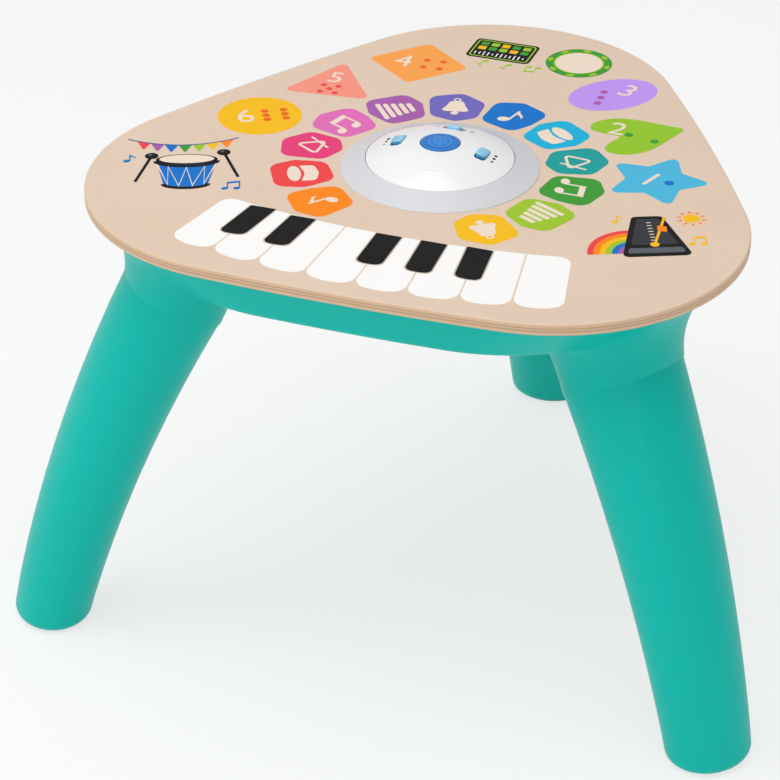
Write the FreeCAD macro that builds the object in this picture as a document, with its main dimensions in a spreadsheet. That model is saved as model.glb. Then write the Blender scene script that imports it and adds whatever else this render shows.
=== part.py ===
import FreeCAD, Part
import math
import os
import re
import Sketcher

# Musical activity table for toddlers: a plywood deck with a domed sound module in
# its middle, screwed onto a moulded housing that three plug-in legs carry.
# Millimetres, +Z up. Each piece is drawn about the table's vertical axis with the
# deck's top face at height zero, and its Placement then sets it over the floor.
# The front edge, where the keyboard is, faces -Y.

V = FreeCAD.Vector
NEAR = 0.01
START, END, CENTRE = 1, 2, 3
Z_AXIS = V(0, 0, 1)
Y_AXIS = V(0, 1, 0)

doc = FreeCAD.newDocument("activity_table")

SIZES = {
    # Deck: a triangle with bulging sides and large round corners
    "top_height": 331,
    "deck_reach": 240,
    "deck_corner": 131.5,
    "deck_side": 1800,
    "deck_thickness": 8,
    "deck_edge": 1.2,
    "module_hole": 60.8,
    # Touch film glued under the deck
    "film_thickness": 0.4,
    "film_inset": 12,
    "film_clearance": 1.5,
    # Housing: a shallow tray whose walls lean in, with a collar for each leg
    "rim_inset": 5,
    "base_reach": 205,
    "base_corner": 145,
    "tray_depth": 28.5,
    "wall": 3,
    "tray_edge": 6,
    "flare_round": 14,
    # Collar: an ellipse under the deck that sweeps into the leg's seam
    "collar_proud": 0.8,
    "collar_top_long": 85,
    "collar_top_short": 60,
    "collar_neck_centre": 174,
    "collar_neck_drop": 22,
    "collar_neck_tilt": 8,
    "collar_neck_long": 61,
    "collar_neck_short": 49,
    "seam_centre": 183.5,
    "seam_drop": 71.3,
    "seam_long": 44,
    "seam_short": 37,
    # Leg: curved and tapered, leaning out, with a spigot that plugs into the collar
    "leg_tilt": 28.5,
    "leg_bend": 1060,
    "leg_step": 0.7,
    "foot_long": 30.5,
    "foot_short": 26.5,
    "foot_round": 8,
    "spigot_shoulder": 4,
    "spigot_length": 28,
    "spigot_room": 1,
    "spigot_draft": 1.2,
    "spigot_gap": 0.35,
    "socket_wall": 2.4,
    # Bosses that take the deck screws
    "boss_circle": 155,
    "boss_angle": 26,
    "boss_radius": 5.5,
    "screw_shank": 1.75,
    "screw_head": 3.4,
    "screw_head_height": 2.4,
    "screw_bite": 6,
    "counterbore": 4,
    "screw_play": 0.25,
    # Ring of the sound module
    "ring_radius": 67.5,
    "ring_lip": 0.9,
    "ring_top": 7.6,
    "ring_skirt": 2.7,
    "ring_skirt_depth": 7.6,
    "ring_underside": 1.4,
    "shelf_height": 3.4,
    "shelf_width": 3.3,
    "hole_play": 0.4,
    # Domed cover
    "dome_radius": 50.3,
    "dome_top": 19.2,
    "dome_crown": 115,
    "dome_wall": 2.2,
    "dome_play": 0.4,
    "dome_post_circle": 40,
    "dome_post": 2.8,
    # Clamping tray under the deck
    "clamp_radius": 68,
    "clamp_thickness": 2.4,
    "clamp_circle": 54,
    "clamp_post": 3.1,
    "cable_hole": 9,
    # Circuit board
    "board_radius": 45.5,
    "board_thickness": 1.6,
    "board_drop": 0.4,
    "chip_side": 12,
    "chip_height": 1.8,
    # Centre button and the rubber key under it
    "button_radius": 13.5,
    "button_play": 0.4,
    "button_stand": 0.3,
    "button_crown": 120,
    "button_wall": 1.6,
    "button_flange": 2.2,
    "button_flange_height": 1.2,
    "button_stem": 3,
    "button_round": 1,
    "key_height": 6.4,
    "key_base": 8.5,
    "key_pad": 3.6,
    "key_wall": 0.9,
    "key_play": 0.2,
    # Slide knobs on the dome
    "knob_circle": 30,
    "knob_long": 9.6,
    "knob_wide": 7.8,
    "knob_stand": 1.7,
    "knob_round": 2.6,
    "knob_travel": 3,
    "knob_play": 0.35,
    "knob_flange": 1.8,
    "knob_flange_height": 1,
    "knob_stem_long": 3,
    "knob_stem_wide": 2,
    "knob_stem_reach": 12.3,
    "switch_long": 14,
    "switch_wide": 7.4,
    "switch_height": 5.4,
    "switch_floor": 1.2,
    # Loudspeaker, face down over the grille in the tray's floor
    "speaker_place": 74,
    "speaker_radius": 28,
    "speaker_flange": 1.4,
    "speaker_basket": 9,
    "speaker_neck": 13,
    "magnet_radius": 16,
    "magnet_height": 7.5,
    "speaker_seat": 4,
    "speaker_play": 0.3,
    "speaker_vent": 2.7,
    "cone_paper": 0.4,
    "grille_pitch": 6,
    "grille_slot": 2.6,
    # Battery well, cells and door
    "well_place": 75,
    "cell_radius": 7.1,
    "cell_length": 48.8,
    "cell_tip": 1.6,
    "cell_tip_radius": 2.7,
    "cell_pitch": 15.4,
    "cell_play": 0.3,
    "contact_room": 3.2,
    "contact_sheet": 0.5,
    "door_thickness": 2.5,
    "door_margin": 4,
    "door_screw_land": 13,
    "door_play": 0.4,
    "door_rest": 0.2,
    "pad_thickness": 5.2,
    "tab_reach": 3.4,
    "tab_thickness": 2,
    "tab_width": 9,
    "tab_place": 13,
    "tab_room": 2.6,
}

sheet = doc.addObject("Spreadsheet::Sheet", "size")
for row, (alias, value) in enumerate(SIZES.items(), start=1):
    sheet.set(f"A{row}", alias)
    sheet.set(f"B{row}", str(value))
    sheet.setAlias(f"B{row}", alias)
doc.recompute()

ALIAS = re.compile(r"\b(" + "|".join(sorted(SIZES, key=len, reverse=True)) + r")\b")


def linked(text):
    """An expression on the sheet's names, with the sheet put before each name."""
    return ALIAS.sub(r"size.\1", str(text))


def number(text):
    """What an expression on the sheet's names comes to."""
    result = sheet.evalExpression(linked(text))
    return float(getattr(result, "Value", result))


def bind(thing, prop, text):
    thing.setExpression(prop, linked(text))


# Places that several pieces share

UNDER_DECK = "(-deck_thickness)"
TRAY_FLOOR = "(-deck_thickness - tray_depth)"
FLOOR_TOP = f"({TRAY_FLOOR} + wall)"
DOME_CENTRE = "(dome_top - dome_crown)"
SEAM_HEIGHT = "(-deck_thickness - seam_drop)"
LEG_AZIMUTHS = {"front_left": 210, "front_right": 330, "rear": 90}
KNOB_AZIMUTHS = {"volume": 180, "language": 90, "mode": 0}
SIDE_AZIMUTHS = (30, 150, 270)
BOSS_AZIMUTHS = [side + turn * number("boss_angle")
                 for side in SIDE_AZIMUTHS for turn in (-1, 1)]


def triangle_centres(reach, corner, side):
    """How far a rounded triangle's corner centres and side centres lie from its middle."""
    to_corner = number(f"({reach}) - ({corner})")
    between = number(f"({side}) - ({corner})")
    return to_corner, math.sqrt(between ** 2 - 0.75 * to_corner ** 2) - to_corner / 2


def leg_section(drop):
    """Radius and tilt of the leg's centre line, a drop below the seam's centre."""
    sine = math.sin(math.radians(number("leg_tilt"))) - drop / number("leg_bend")
    tilt = math.asin(sine)
    run = math.cos(tilt) - math.cos(math.radians(number("leg_tilt")))
    return number("seam_centre") + number("leg_bend") * run, math.degrees(tilt)


leg_drop = number(f"top_height + {SEAM_HEIGHT}")
foot_centre, foot_tilt = leg_section(leg_drop)
foot_reach = foot_centre + number("foot_short")
front_reach = number("deck_side") - triangle_centres("deck_reach", "deck_corner", "deck_side")[1]
AXIS_Y = (front_reach - foot_reach) / 2
DECK = FreeCAD.Placement(V(0, AXIS_Y, number("top_height")), FreeCAD.Rotation())

pieces = {}


def turned(azimuth, x=0, y=0, z=0, tilt=0, spin=0):
    """A place at x, y, z that leans by tilt, carried round the table's axis."""
    around = FreeCAD.Placement(V(), FreeCAD.Rotation(Z_AXIS, azimuth))
    lean = FreeCAD.Rotation(Y_AXIS, -tilt) * FreeCAD.Rotation(Z_AXIS, spin)
    return around * FreeCAD.Placement(V(x, y, z), lean)


def keep(thing, label, place=FreeCAD.Placement()):
    """Names a finished sub-part and sets it in its place over the floor."""
    thing.Label = label
    thing.Placement = DECK * place
    pieces[label] = thing
    return thing


# Sketches and solids

def body(label):
    return doc.addObject("PartDesign::Body", label)


def sketch(owner, name, plane="XY_Plane", height="0"):
    drawing = owner.newObject("Sketcher::SketchObject", name)
    role = [f for f in owner.Origin.OriginFeatures if f.Role == plane][0]
    drawing.AttachmentSupport = (role, "")
    drawing.MapMode = "FlatFace"
    bind(drawing, "AttachmentOffset.Base.z", height)
    return drawing


def constrain(drawing, kind, *where, size):
    index = drawing.addConstraint(Sketcher.Constraint(kind, *where, number(size)))
    bind(drawing, f"Constraints[{index}]", size)


def pin(drawing, line, end, x, y):
    """Holds a point of the sketch at x, y, each an expression."""
    constrain(drawing, "DistanceX", -1, 1, line, end, size=x)
    constrain(drawing, "DistanceY", -1, 1, line, end, size=y)


def outline(drawing, points):
    """A closed outline through points given as pairs of expressions.

    A third entry on a point is the radius of the arc that leads to it. The arc's centre
    is the point's last two entries, or else lies below on the sketch's vertical axis.
    """
    first = drawing.GeometryCount
    count = len(points)
    for i, point in enumerate(points):
        here = V(number(point[0]), number(point[1]), 0)
        onward = points[(i + 1) % count]
        there = V(number(onward[0]), number(onward[1]), 0)
        if len(onward) < 3:
            drawing.addGeometry(Part.LineSegment(here, there))
            continue
        radius = number(onward[2])
        if len(onward) == 5:
            middle = V(number(onward[3]), number(onward[4]), 0)
        else:
            middle = V(0, here.y - math.sqrt(radius ** 2 - here.x ** 2), 0)
        angles = sorted(math.atan2(end.y - middle.y, end.x - middle.x) for end in (here, there))
        drawing.addGeometry(Part.ArcOfCircle(Part.Circle(middle, Z_AXIS, radius), *angles))
    starts = []
    for i in range(count):
        geometry = drawing.Geometry[first + i]
        here = V(number(points[i][0]), number(points[i][1]), 0)
        starts.append(START if geometry.StartPoint.distanceToPoint(here) < NEAR else END)
    for i in range(count):
        after = (i + 1) % count
        drawing.addConstraint(Sketcher.Constraint(
            "Coincident", first + i, START + END - starts[i], first + after, starts[after]))
        pin(drawing, first + i, starts[i], points[i][0], points[i][1])
        if len(points[after]) > 2:
            constrain(drawing, "Radius", first + i, size=points[after][2])


def crowned(rim, centre, crown, ease):
    """The points of an outline where a crown about the axis is eased into an upright rim."""
    x = f"({rim} - {ease})"
    y = f"({centre} + sqrt(({crown} - {ease})^2 - {x}^2))"
    grow = f"({crown} / ({crown} - {ease}))"
    return [(f"{x} * {grow}", f"{centre} + ({y} - {centre}) * {grow}", crown),
            (rim, y, ease, x, y)]


def ring_of(drawing, radius, x="0", y="0"):
    """A circle in a sketch, centred at x, y."""
    circle = Part.Circle(V(number(x), number(y), 0), Z_AXIS, number(radius))
    index = drawing.addGeometry(circle)
    constrain(drawing, "Radius", index, size=radius)
    pin(drawing, index, CENTRE, x, y)


def rounded_triangle(drawing, reach, corner, side):
    """Three corner arcs of one radius, joined smoothly by three side arcs of another."""
    corner_distance, side_distance = triangle_centres(reach, corner, side)
    first = drawing.GeometryCount
    for azimuth in (210, 330, 90):
        centre = turned(azimuth, x=corner_distance).Base
        side_centre = turned(azimuth + 240, x=side_distance).Base
        last_side = turned(azimuth + 120, x=side_distance).Base
        next_centre = turned(azimuth + 120, x=corner_distance).Base
        enter = (centre - last_side).normalize()
        leave = (centre - side_centre).normalize()
        out = (next_centre - side_centre).normalize()
        a0, a1, a2 = [math.atan2(way.y, way.x) for way in (enter, leave, out)]
        corner_circle = Part.Circle(centre, Z_AXIS, number(corner))
        side_circle = Part.Circle(side_centre, Z_AXIS, number(side))
        for circle, low, high in ((corner_circle, a0, a1), (side_circle, a1, a2)):
            full_turn = 0 if high > low else 2 * math.pi
            drawing.addGeometry(Part.ArcOfCircle(circle, low, high + full_turn))
    for i, azimuth in enumerate((210, 330, 90)):
        corner_arc = first + 2 * i
        after = first + (2 * i + 2) % 6
        for one, other in ((corner_arc, corner_arc + 1), (corner_arc + 1, after)):
            drawing.addConstraint(Sketcher.Constraint("Tangent", one, END, other, START))
        constrain(drawing, "Radius", corner_arc, size=corner)
        constrain(drawing, "Radius", corner_arc + 1, size=side)
        pin(drawing, corner_arc, CENTRE, f"(({reach}) - ({corner})) * cos({azimuth})",
            f"(({reach}) - ({corner})) * sin({azimuth})")


def inset_triangle(drawing, inset):
    """The deck's outline, moved in all round by an inset."""
    rounded_triangle(drawing, f"deck_reach - ({inset})", f"deck_corner - ({inset})",
                     f"deck_side - ({inset})")


def extrude(owner, kind, drawing, length, both=False, back=False):
    feature = owner.newObject(kind, f"{drawing.Name}_{kind.split('::')[1].lower()}")
    feature.Profile = drawing
    bind(feature, "Length", length)
    if both:
        feature.SideType = "Symmetric"
    feature.Reversed = back
    return feature


def pad(owner, drawing, length, **how):
    return extrude(owner, "PartDesign::Pad", drawing, length, **how)


def pocket(owner, drawing, length, **how):
    return extrude(owner, "PartDesign::Pocket", drawing, length, **how)


def revolve(owner, drawing):
    feature = owner.newObject("PartDesign::Revolution", f"{drawing.Name}_turned")
    feature.Profile = drawing
    feature.ReferenceAxis = (drawing, ["V_Axis"])
    feature.Angle = 360
    return feature


def turned_body(label, points):
    """A body made by turning one outline about its vertical axis."""
    owner = body(label)
    drawing = sketch(owner, f"{label}_profile", "XZ_Plane")
    outline(drawing, points)
    revolve(owner, drawing)
    return owner


def rod(name, radius, low, high, where=None, x="0", y="0"):
    """A plain cylinder between two heights, at x, y or at a given place."""
    cylinder = doc.addObject("Part::Cylinder", name)
    bind(cylinder, "Radius", radius)
    bind(cylinder, "Height", f"({high}) - ({low})")
    if where is None:
        where = FreeCAD.Placement(V(number(x), number(y), number(low)), FreeCAD.Rotation())
    cylinder.Placement = where
    return cylinder


def block(name, x, y, z, where=None):
    """A box between two x, two y and two z, each pair of expressions."""
    box = doc.addObject("Part::Box", name)
    bind(box, "Length", f"({x[1]}) - ({x[0]})")
    bind(box, "Width", f"({y[1]}) - ({y[0]})")
    bind(box, "Height", f"({z[1]}) - ({z[0]})")
    corner = FreeCAD.Placement(V(number(x[0]), number(y[0]), number(z[0])), FreeCAD.Rotation())
    box.Placement = corner if where is None else where * corner
    return box


def fuse(name, things):
    union = doc.addObject("Part::MultiFuse", name)
    union.Shapes = things
    return union


def cut(name, base, tool):
    result = doc.addObject("Part::Cut", name)
    result.Base = base
    result.Tool = tool
    return result


def group(name, things):
    """Separate solids that make one node, such as a set of like screws."""
    gathered = doc.addObject("Part::Compound", name)
    gathered.Links = things
    return gathered


# Deck: a plywood board with softened edges and a round hole for the sound module

deck = body("top_panel")
deck_outline = sketch(deck, "deck_outline", height=UNDER_DECK)
inset_triangle(deck_outline, "0")
pad(deck, deck_outline, "deck_thickness")
deck_hole = sketch(deck, "deck_hole", height="0")
ring_of(deck_hole, "module_hole")
pocket(deck, deck_hole, "deck_thickness")
pilot = sketch(deck, "deck_pilot", height=UNDER_DECK)
for azimuth in BOSS_AZIMUTHS:
    spot = turned(azimuth, x=1).Base
    ring_of(pilot, "screw_shank", f"boss_circle * {spot.x:.12f}", f"boss_circle * {spot.y:.12f}")
pocket(deck, pilot, "screw_bite", back=True)
doc.recompute()

def edges_where(shape, test):
    return [f"Edge{i}" for i, edge in enumerate(shape.Edges, start=1) if test(edge)]


def level(height):
    """Tests for edges that lie flat at one height."""
    z = number(height)
    return lambda edge: abs(edge.BoundBox.ZMin - z) < NEAR and abs(edge.BoundBox.ZMax - z) < NEAR


def upright(edge):
    box = edge.BoundBox
    return box.XLength < NEAR and box.YLength < NEAR


def round_body(owner, radius, test):
    """Rounds the edges of a body that pass a test."""
    doc.recompute()
    base = owner.Tip
    feature = owner.newObject("PartDesign::Fillet", f"{owner.Name}_round_{len(owner.Group)}")
    feature.Base = (base, edges_where(base.Shape, test))
    bind(feature, "Radius", radius)
    owner.Tip = feature
    return feature


def round_edges(name, base, radius, test):
    """Rounds the edges of a solid that pass a test."""
    doc.recompute()
    fillet = doc.addObject("Part::Fillet", name)
    fillet.Base = base
    size = number(radius)
    picked = [int(edge[4:]) for edge in edges_where(base.Shape, test)]
    fillet.Edges = [(index, size, size) for index in picked]
    return fillet


def outer_edge(edge):
    """True for the deck's outline, false for the rims of its round holes."""
    return edge.BoundBox.Center.Length > number("module_hole") / 2


round_body(deck, "deck_edge", lambda edge: (level("0")(edge) or level(UNDER_DECK)(edge))
           and outer_edge(edge) and edge.Length > number("module_hole"))
keep(deck, "top_panel")


# Touch film: a printed circuit sheet glued under the deck, holed for bosses and module

film = body("touch_film")
film_outline = sketch(film, "film_outline", height=f"{UNDER_DECK} - film_thickness")
inset_triangle(film_outline, "film_inset")
pad(film, film_outline, "film_thickness")
film_holes = sketch(film, "film_holes", height=UNDER_DECK)
ring_of(film_holes, "clamp_radius + film_clearance")
for azimuth in BOSS_AZIMUTHS:
    spot = turned(azimuth, x=1).Base
    ring_of(film_holes, "boss_radius + film_clearance",
            f"boss_circle * {spot.x:.12f}", f"boss_circle * {spot.y:.12f}")
pocket(film, film_holes, "film_thickness")
keep(film, "touch_film")


# Housing: the tray, three flared collars and the sockets inside them

def section(name, reach, corner, side, height):
    """A free-standing rounded triangle, one end of a loft."""
    drawing = doc.addObject("Sketcher::SketchObject", name)
    rounded_triangle(drawing, reach, corner, side)
    bind(drawing, "Placement.Base.z", height)
    return drawing


def loft(name, sections, ruled=False):
    skin = doc.addObject("Part::Loft", name)
    skin.Sections = sections
    skin.Solid = True
    skin.Ruled = ruled
    return skin


def ellipse(name, long, short, place):
    """An ellipse whose long axis lies across the table's radius."""
    curve = doc.addObject("Part::Ellipse", name)
    bind(curve, "MajorRadius", long)
    bind(curve, "MinorRadius", short)
    curve.Placement = place
    return curve


def collar_place(azimuth, centre, height, tilt):
    return turned(azimuth, x=number(centre), z=number(height), tilt=number(tilt), spin=90)


def seam_place(azimuth, along):
    """A place on the socket's axis, measured up from the seam."""
    up = FreeCAD.Placement(V(0, 0, number(along)), FreeCAD.Rotation())
    return collar_place(azimuth, "seam_centre", SEAM_HEIGHT, "leg_tilt") * up


def collar(name, azimuth, skin):
    """The flared collar, each section thinner than the outside by a skin."""
    top_centre = "deck_reach - rim_inset + collar_proud - collar_top_short"
    neck = f"{UNDER_DECK} - collar_neck_drop"
    return loft(name, [
        ellipse(f"{name}_top", f"collar_top_long - {skin}", f"collar_top_short - {skin}",
                collar_place(azimuth, top_centre, UNDER_DECK, "0")),
        ellipse(f"{name}_neck", f"collar_neck_long - {skin}", f"collar_neck_short - {skin}",
                collar_place(azimuth, "collar_neck_centre", neck, "collar_neck_tilt")),
        ellipse(f"{name}_seam", f"seam_long - {skin}", f"seam_short - {skin}",
                seam_place(azimuth, "0"))])


def socket(name, azimuth, grow, low, high):
    """The spigot's tapering form, grown by a wall, between two distances up the axis."""
    long = "seam_long - leg_step - spigot_shoulder"
    short = "seam_short - leg_step - spigot_shoulder"
    taper = f"spigot_draft / spigot_length * ({high})"
    return loft(name, [
        ellipse(f"{name}_low", f"{long} + {grow}", f"{short} + {grow}",
                seam_place(azimuth, low)),
        ellipse(f"{name}_high", f"{long} + {grow} - {taper}", f"{short} + {grow} - {taper}",
                seam_place(azimuth, high))])


tray = loft("tray", [
    section("tray_rim", "deck_reach - rim_inset", "deck_corner - rim_inset",
            "deck_side - rim_inset", UNDER_DECK),
    section("tray_base", "base_reach", "base_corner", "deck_side", TRAY_FLOOR)])
tray = round_edges("tray_rounded", tray, "tray_edge", level(TRAY_FLOOR))
tray_room = loft("tray_room", [
    section("room_rim", "deck_reach - rim_inset - wall", "deck_corner - rim_inset - wall",
            "deck_side - rim_inset - wall", UNDER_DECK),
    section("room_base", "base_reach - wall", "base_corner - wall", "deck_side - wall",
            FLOOR_TOP)])
outsides = [tray]
rooms = [tray_room]
sleeves = []
bores = []
for side, azimuth in LEG_AZIMUTHS.items():
    outsides.append(collar(f"collar_{side}", azimuth, "0"))
    rooms.append(collar(f"collar_room_{side}", azimuth, "wall"))
    socket_end = "spigot_length + spigot_room"
    sleeves.append(socket(f"sleeve_{side}", azimuth, "spigot_gap + socket_wall", "0",
                          f"{socket_end} + socket_wall"))
    bores.append(socket(f"bore_{side}", azimuth, "spigot_gap", "0", socket_end))
outside = fuse("housing_outside", outsides)


def at_junction(edge):
    """True for the creases where a collar leaves the tray."""
    box = edge.BoundBox
    if box.ZMin < number(TRAY_FLOOR) - NEAR or box.ZMin > number(UNDER_DECK) - NEAR:
        return False
    middle = Part.Vertex(edge.valueAt((edge.FirstParameter + edge.LastParameter) / 2))
    flanks = [solid.Shape.Faces[0] for solid in outsides[1:]]
    return min(flank.distToShape(middle)[0] for flank in flanks) < NEAR


outside = round_edges("housing_flared", outside, "flare_round", at_junction)
shell = cut("housing_shell", outside, fuse("housing_rooms", rooms))

# Battery well in the floor: a pad, a recess for the door and a lidless box over it
WELL_X = "(1.5 * cell_pitch + cell_play)"
WELL_Y = "((cell_length + cell_tip) / 2 + contact_room)"
DOOR_X = f"({WELL_X} + door_margin)"
HINGE_Y = f"(-well_place + {WELL_Y} + door_margin)"
DOOR_FRONT = f"(-well_place - {WELL_Y} - door_screw_land)"
DOOR_TOP = f"({TRAY_FLOOR} + door_thickness)"
LEDGE = f"({DOOR_TOP} + door_rest)"
PAD_TOP = f"({TRAY_FLOOR} + pad_thickness)"
CELL_HEIGHT = f"({LEDGE} + cell_play + cell_radius)"
WELL_ROOF = f"({CELL_HEIGHT} + cell_radius + cell_play)"
DOOR_SCREW_Y = f"({DOOR_FRONT} + door_screw_land / 2)"


def both(half):
    return f"-({half})", half


well_pad = block("well_pad", both(f"{DOOR_X} + wall"),
                 (f"{DOOR_FRONT} - wall", f"{HINGE_Y} + door_play + wall"),
                 (FLOOR_TOP, PAD_TOP))
well_box = block("well_box", both(f"{WELL_X} + wall"),
                 (f"-well_place - {WELL_Y} - wall", f"-well_place + {WELL_Y} + wall"),
                 (FLOOR_TOP, f"{WELL_ROOF} + wall"))
recess = block("door_recess", both(f"{DOOR_X} + door_play"),
               (f"{DOOR_FRONT} - door_play", f"{HINGE_Y} + door_play"),
               (f"{TRAY_FLOOR} - wall", LEDGE))
well = block("well_room", both(WELL_X),
             (f"-well_place - {WELL_Y}", f"-well_place + {WELL_Y}"), (TRAY_FLOOR, WELL_ROOF))
door_boss = rod("door_boss", "boss_radius", FLOOR_TOP, f"{PAD_TOP} + screw_bite",
                y=DOOR_SCREW_Y)
door_bore = rod("door_bore", "screw_shank + door_play + door_rest", TRAY_FLOOR,
                f"{PAD_TOP} + screw_bite", y=DOOR_SCREW_Y)
tab_slots = []
for turn in (-1, 1):
    middle = f"({turn} * tab_place)"
    tab_slots.append(block(
        f"tab_slot_{turn + 2}",
        (f"{middle} - tab_width / 2 - door_play", f"{middle} + tab_width / 2 + door_play"),
        (f"{HINGE_Y} - tab_thickness - tab_room", f"{HINGE_Y} + tab_reach + door_play"),
        (DOOR_TOP, f"{PAD_TOP} + wall")))

# Boss posts for the deck screws, with a counterbore for each head
posts = []
screw_holes = []
for i, azimuth in enumerate(BOSS_AZIMUTHS, start=1):
    spot = turned(azimuth, x=number("boss_circle")).Base
    posts.append(rod(f"post_{i}", "boss_radius", FLOOR_TOP, UNDER_DECK,
                     turned(azimuth, x=number("boss_circle"), z=number(FLOOR_TOP))))
    screw_holes.append(rod(f"post_hole_{i}", "screw_shank + screw_play", TRAY_FLOOR, UNDER_DECK,
                           turned(azimuth, x=number("boss_circle"), z=number(TRAY_FLOOR))))
    screw_holes.append(rod(f"post_counterbore_{i}", "screw_head + screw_play", TRAY_FLOOR,
                           f"{TRAY_FLOOR} + counterbore",
                           turned(azimuth, x=number("boss_circle"), z=number(TRAY_FLOOR))))

# Loudspeaker seat and the slots of its grille
seat = cut("speaker_seat_ring",
           rod("seat_outer", "speaker_radius + speaker_play + wall", FLOOR_TOP,
               f"{FLOOR_TOP} + speaker_seat", y="speaker_place"),
           rod("seat_inner", "speaker_radius + speaker_play", FLOOR_TOP,
               f"{FLOOR_TOP} + speaker_seat", y="speaker_place"))
grille = []
grille_radius = number("speaker_radius - wall")
slot_count = 2 * int(grille_radius / number("grille_pitch")) + 1
for i in range(slot_count):
    offset = (i - slot_count // 2) * number("grille_pitch")
    half = math.sqrt(grille_radius ** 2 - offset ** 2)
    if half < number("grille_slot"):
        continue
    grille.append(block(f"grille_slot_{i + 1}", both(f"{half:.6f}"),
                        (f"speaker_place + {offset} - grille_slot / 2",
                         f"speaker_place + {offset} + grille_slot / 2"),
                        (TRAY_FLOOR, FLOOR_TOP)))

filled = fuse("housing_filled", [shell, well_pad, well_box, door_boss, seat] + posts + sleeves)
hollows = fuse("housing_hollows", [recess, well, door_bore] + tab_slots + screw_holes + grille
               + bores)
keep(cut("base_housing", filled, hollows), "base_housing")


# Legs: hollow, curved and tapered, each with a spigot above a shoulder

LEG_SLICES = 10
PAST_FLOOR = 1.1


def leg(label, azimuth):
    """One leg, lofted through ellipses along its bend and cut flat at the floor."""
    def sections(name, cuts):
        slices = []
        for i, (fraction, skin) in enumerate(cuts):
            radius, tilt = leg_section(fraction * leg_drop)
            place = turned(azimuth, x=radius, z=number(SEAM_HEIGHT) - fraction * leg_drop,
                           tilt=tilt, spin=90)
            slices.append(ellipse(
                f"{name}_{i}",
                f"(seam_long - leg_step) * {1 - fraction} + foot_long * {fraction} - ({skin})",
                f"(seam_short - leg_step) * {1 - fraction} + foot_short * {fraction} - ({skin})",
                place))
        return slices
    steps = [i / LEG_SLICES for i in range(LEG_SLICES)]
    room_end = 1 - number("wall + foot_round") / leg_drop
    outside_cuts = [(step, "0") for step in steps] + [(PAST_FLOOR, "0")]
    room_cuts = [(0, "spigot_shoulder + wall")]
    room_cuts += [(step * room_end, "wall") for step in steps[1:]] + [(room_end, "wall")]
    outer = loft(f"{label}_skin", sections(f"{label}_skin_at", outside_cuts), ruled=True)
    ground = block(f"{label}_ground", both("2 * deck_reach"), both("2 * deck_reach"),
                   ("-top_height - seam_drop", "-top_height"))
    outer = cut(f"{label}_standing", outer, ground)
    outer = round_edges(f"{label}_foot", outer, "foot_round", level("-top_height"))
    inner = loft(f"{label}_room", sections(f"{label}_room_at", room_cuts), ruled=True)
    spigot = socket(f"{label}_spigot", azimuth, "0", "0", "spigot_length")
    throat = socket(f"{label}_throat", azimuth, "-wall", "-leg_step", "spigot_length")
    whole = fuse(f"{label}_whole", [outer, spigot])
    return cut(label, cut(f"{label}_open", whole, inner), throat)


for side, azimuth in LEG_AZIMUTHS.items():
    keep(leg(f"leg_{side}", azimuth), f"leg_{side}")


# Sound module: a ring that drops through the deck, the domed cover seated in it and
# a plate that clamps the ring to the deck from below

SKIRT_OUT = "(module_hole - hole_play)"
SKIRT_IN = f"({SKIRT_OUT} - ring_skirt)"
SHELF_IN = "(dome_radius - shelf_width)"
SEAT = "(dome_radius + dome_play)"
CLAMP_AZIMUTHS = (45, 135, 225, 315)
DOME_POST_AZIMUTHS = (30, 150, 270)
CLAMP_UNDER = f"({UNDER_DECK} - clamp_thickness)"
BOARD_TOP = "(-board_drop)"
BOARD_UNDER = f"({BOARD_TOP} - board_thickness)"


def on_dome(radius, skin="0"):
    """Height of the dome's surface at a radius, a skin below the outside."""
    return f"({DOME_CENTRE} + sqrt((dome_crown - {skin})^2 - ({radius})^2))"


def screws(name, places, head_radius, head_height, shank_radius, length):
    """Pan-head screws, one solid each, pointing up from the underside of their heads."""
    solids = []
    for i, place in enumerate(places, start=1):
        head = rod(f"{name}_head_{i}", head_radius, f"-({head_height})", "0", place)
        head.Placement = place * FreeCAD.Placement(V(0, 0, -number(head_height)),
                                                   FreeCAD.Rotation())
        shank = rod(f"{name}_shank_{i}", shank_radius, "0", length, place)
        solids.append(fuse(f"{name}_{i}", [head, shank]))
    return group(name, solids)


ring = turned_body("ring_turned", [
    ("ring_radius", "0"), ("ring_radius", "ring_lip / 2"),
    ("ring_radius - ring_lip / 2", "ring_lip"), (SEAT, "ring_top"),
    (SEAT, "shelf_height"), (SHELF_IN, "shelf_height"), (SHELF_IN, "ring_underside"),
    (SKIRT_IN, "ring_underside"), (SKIRT_IN, "-ring_skirt_depth"),
    (SKIRT_OUT, "-ring_skirt_depth"), (SKIRT_OUT, "0")])
ring_posts = []
ring_pilots = []
for i, azimuth in enumerate(CLAMP_AZIMUTHS, start=1):
    spot = turned(azimuth, x=number("clamp_circle"), z=-number("ring_skirt_depth"))
    ring_posts.append(rod(f"ring_post_{i}", "clamp_post", "-ring_skirt_depth",
                          "ring_underside", spot))
    ring_pilots.append(rod(f"ring_pilot_{i}", "screw_shank", "-ring_skirt_depth",
                           "ring_underside", spot))
keep(cut("trim_ring", fuse("ring_with_posts", [ring] + ring_posts),
         fuse("ring_pilots", ring_pilots)), "trim_ring")

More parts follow.
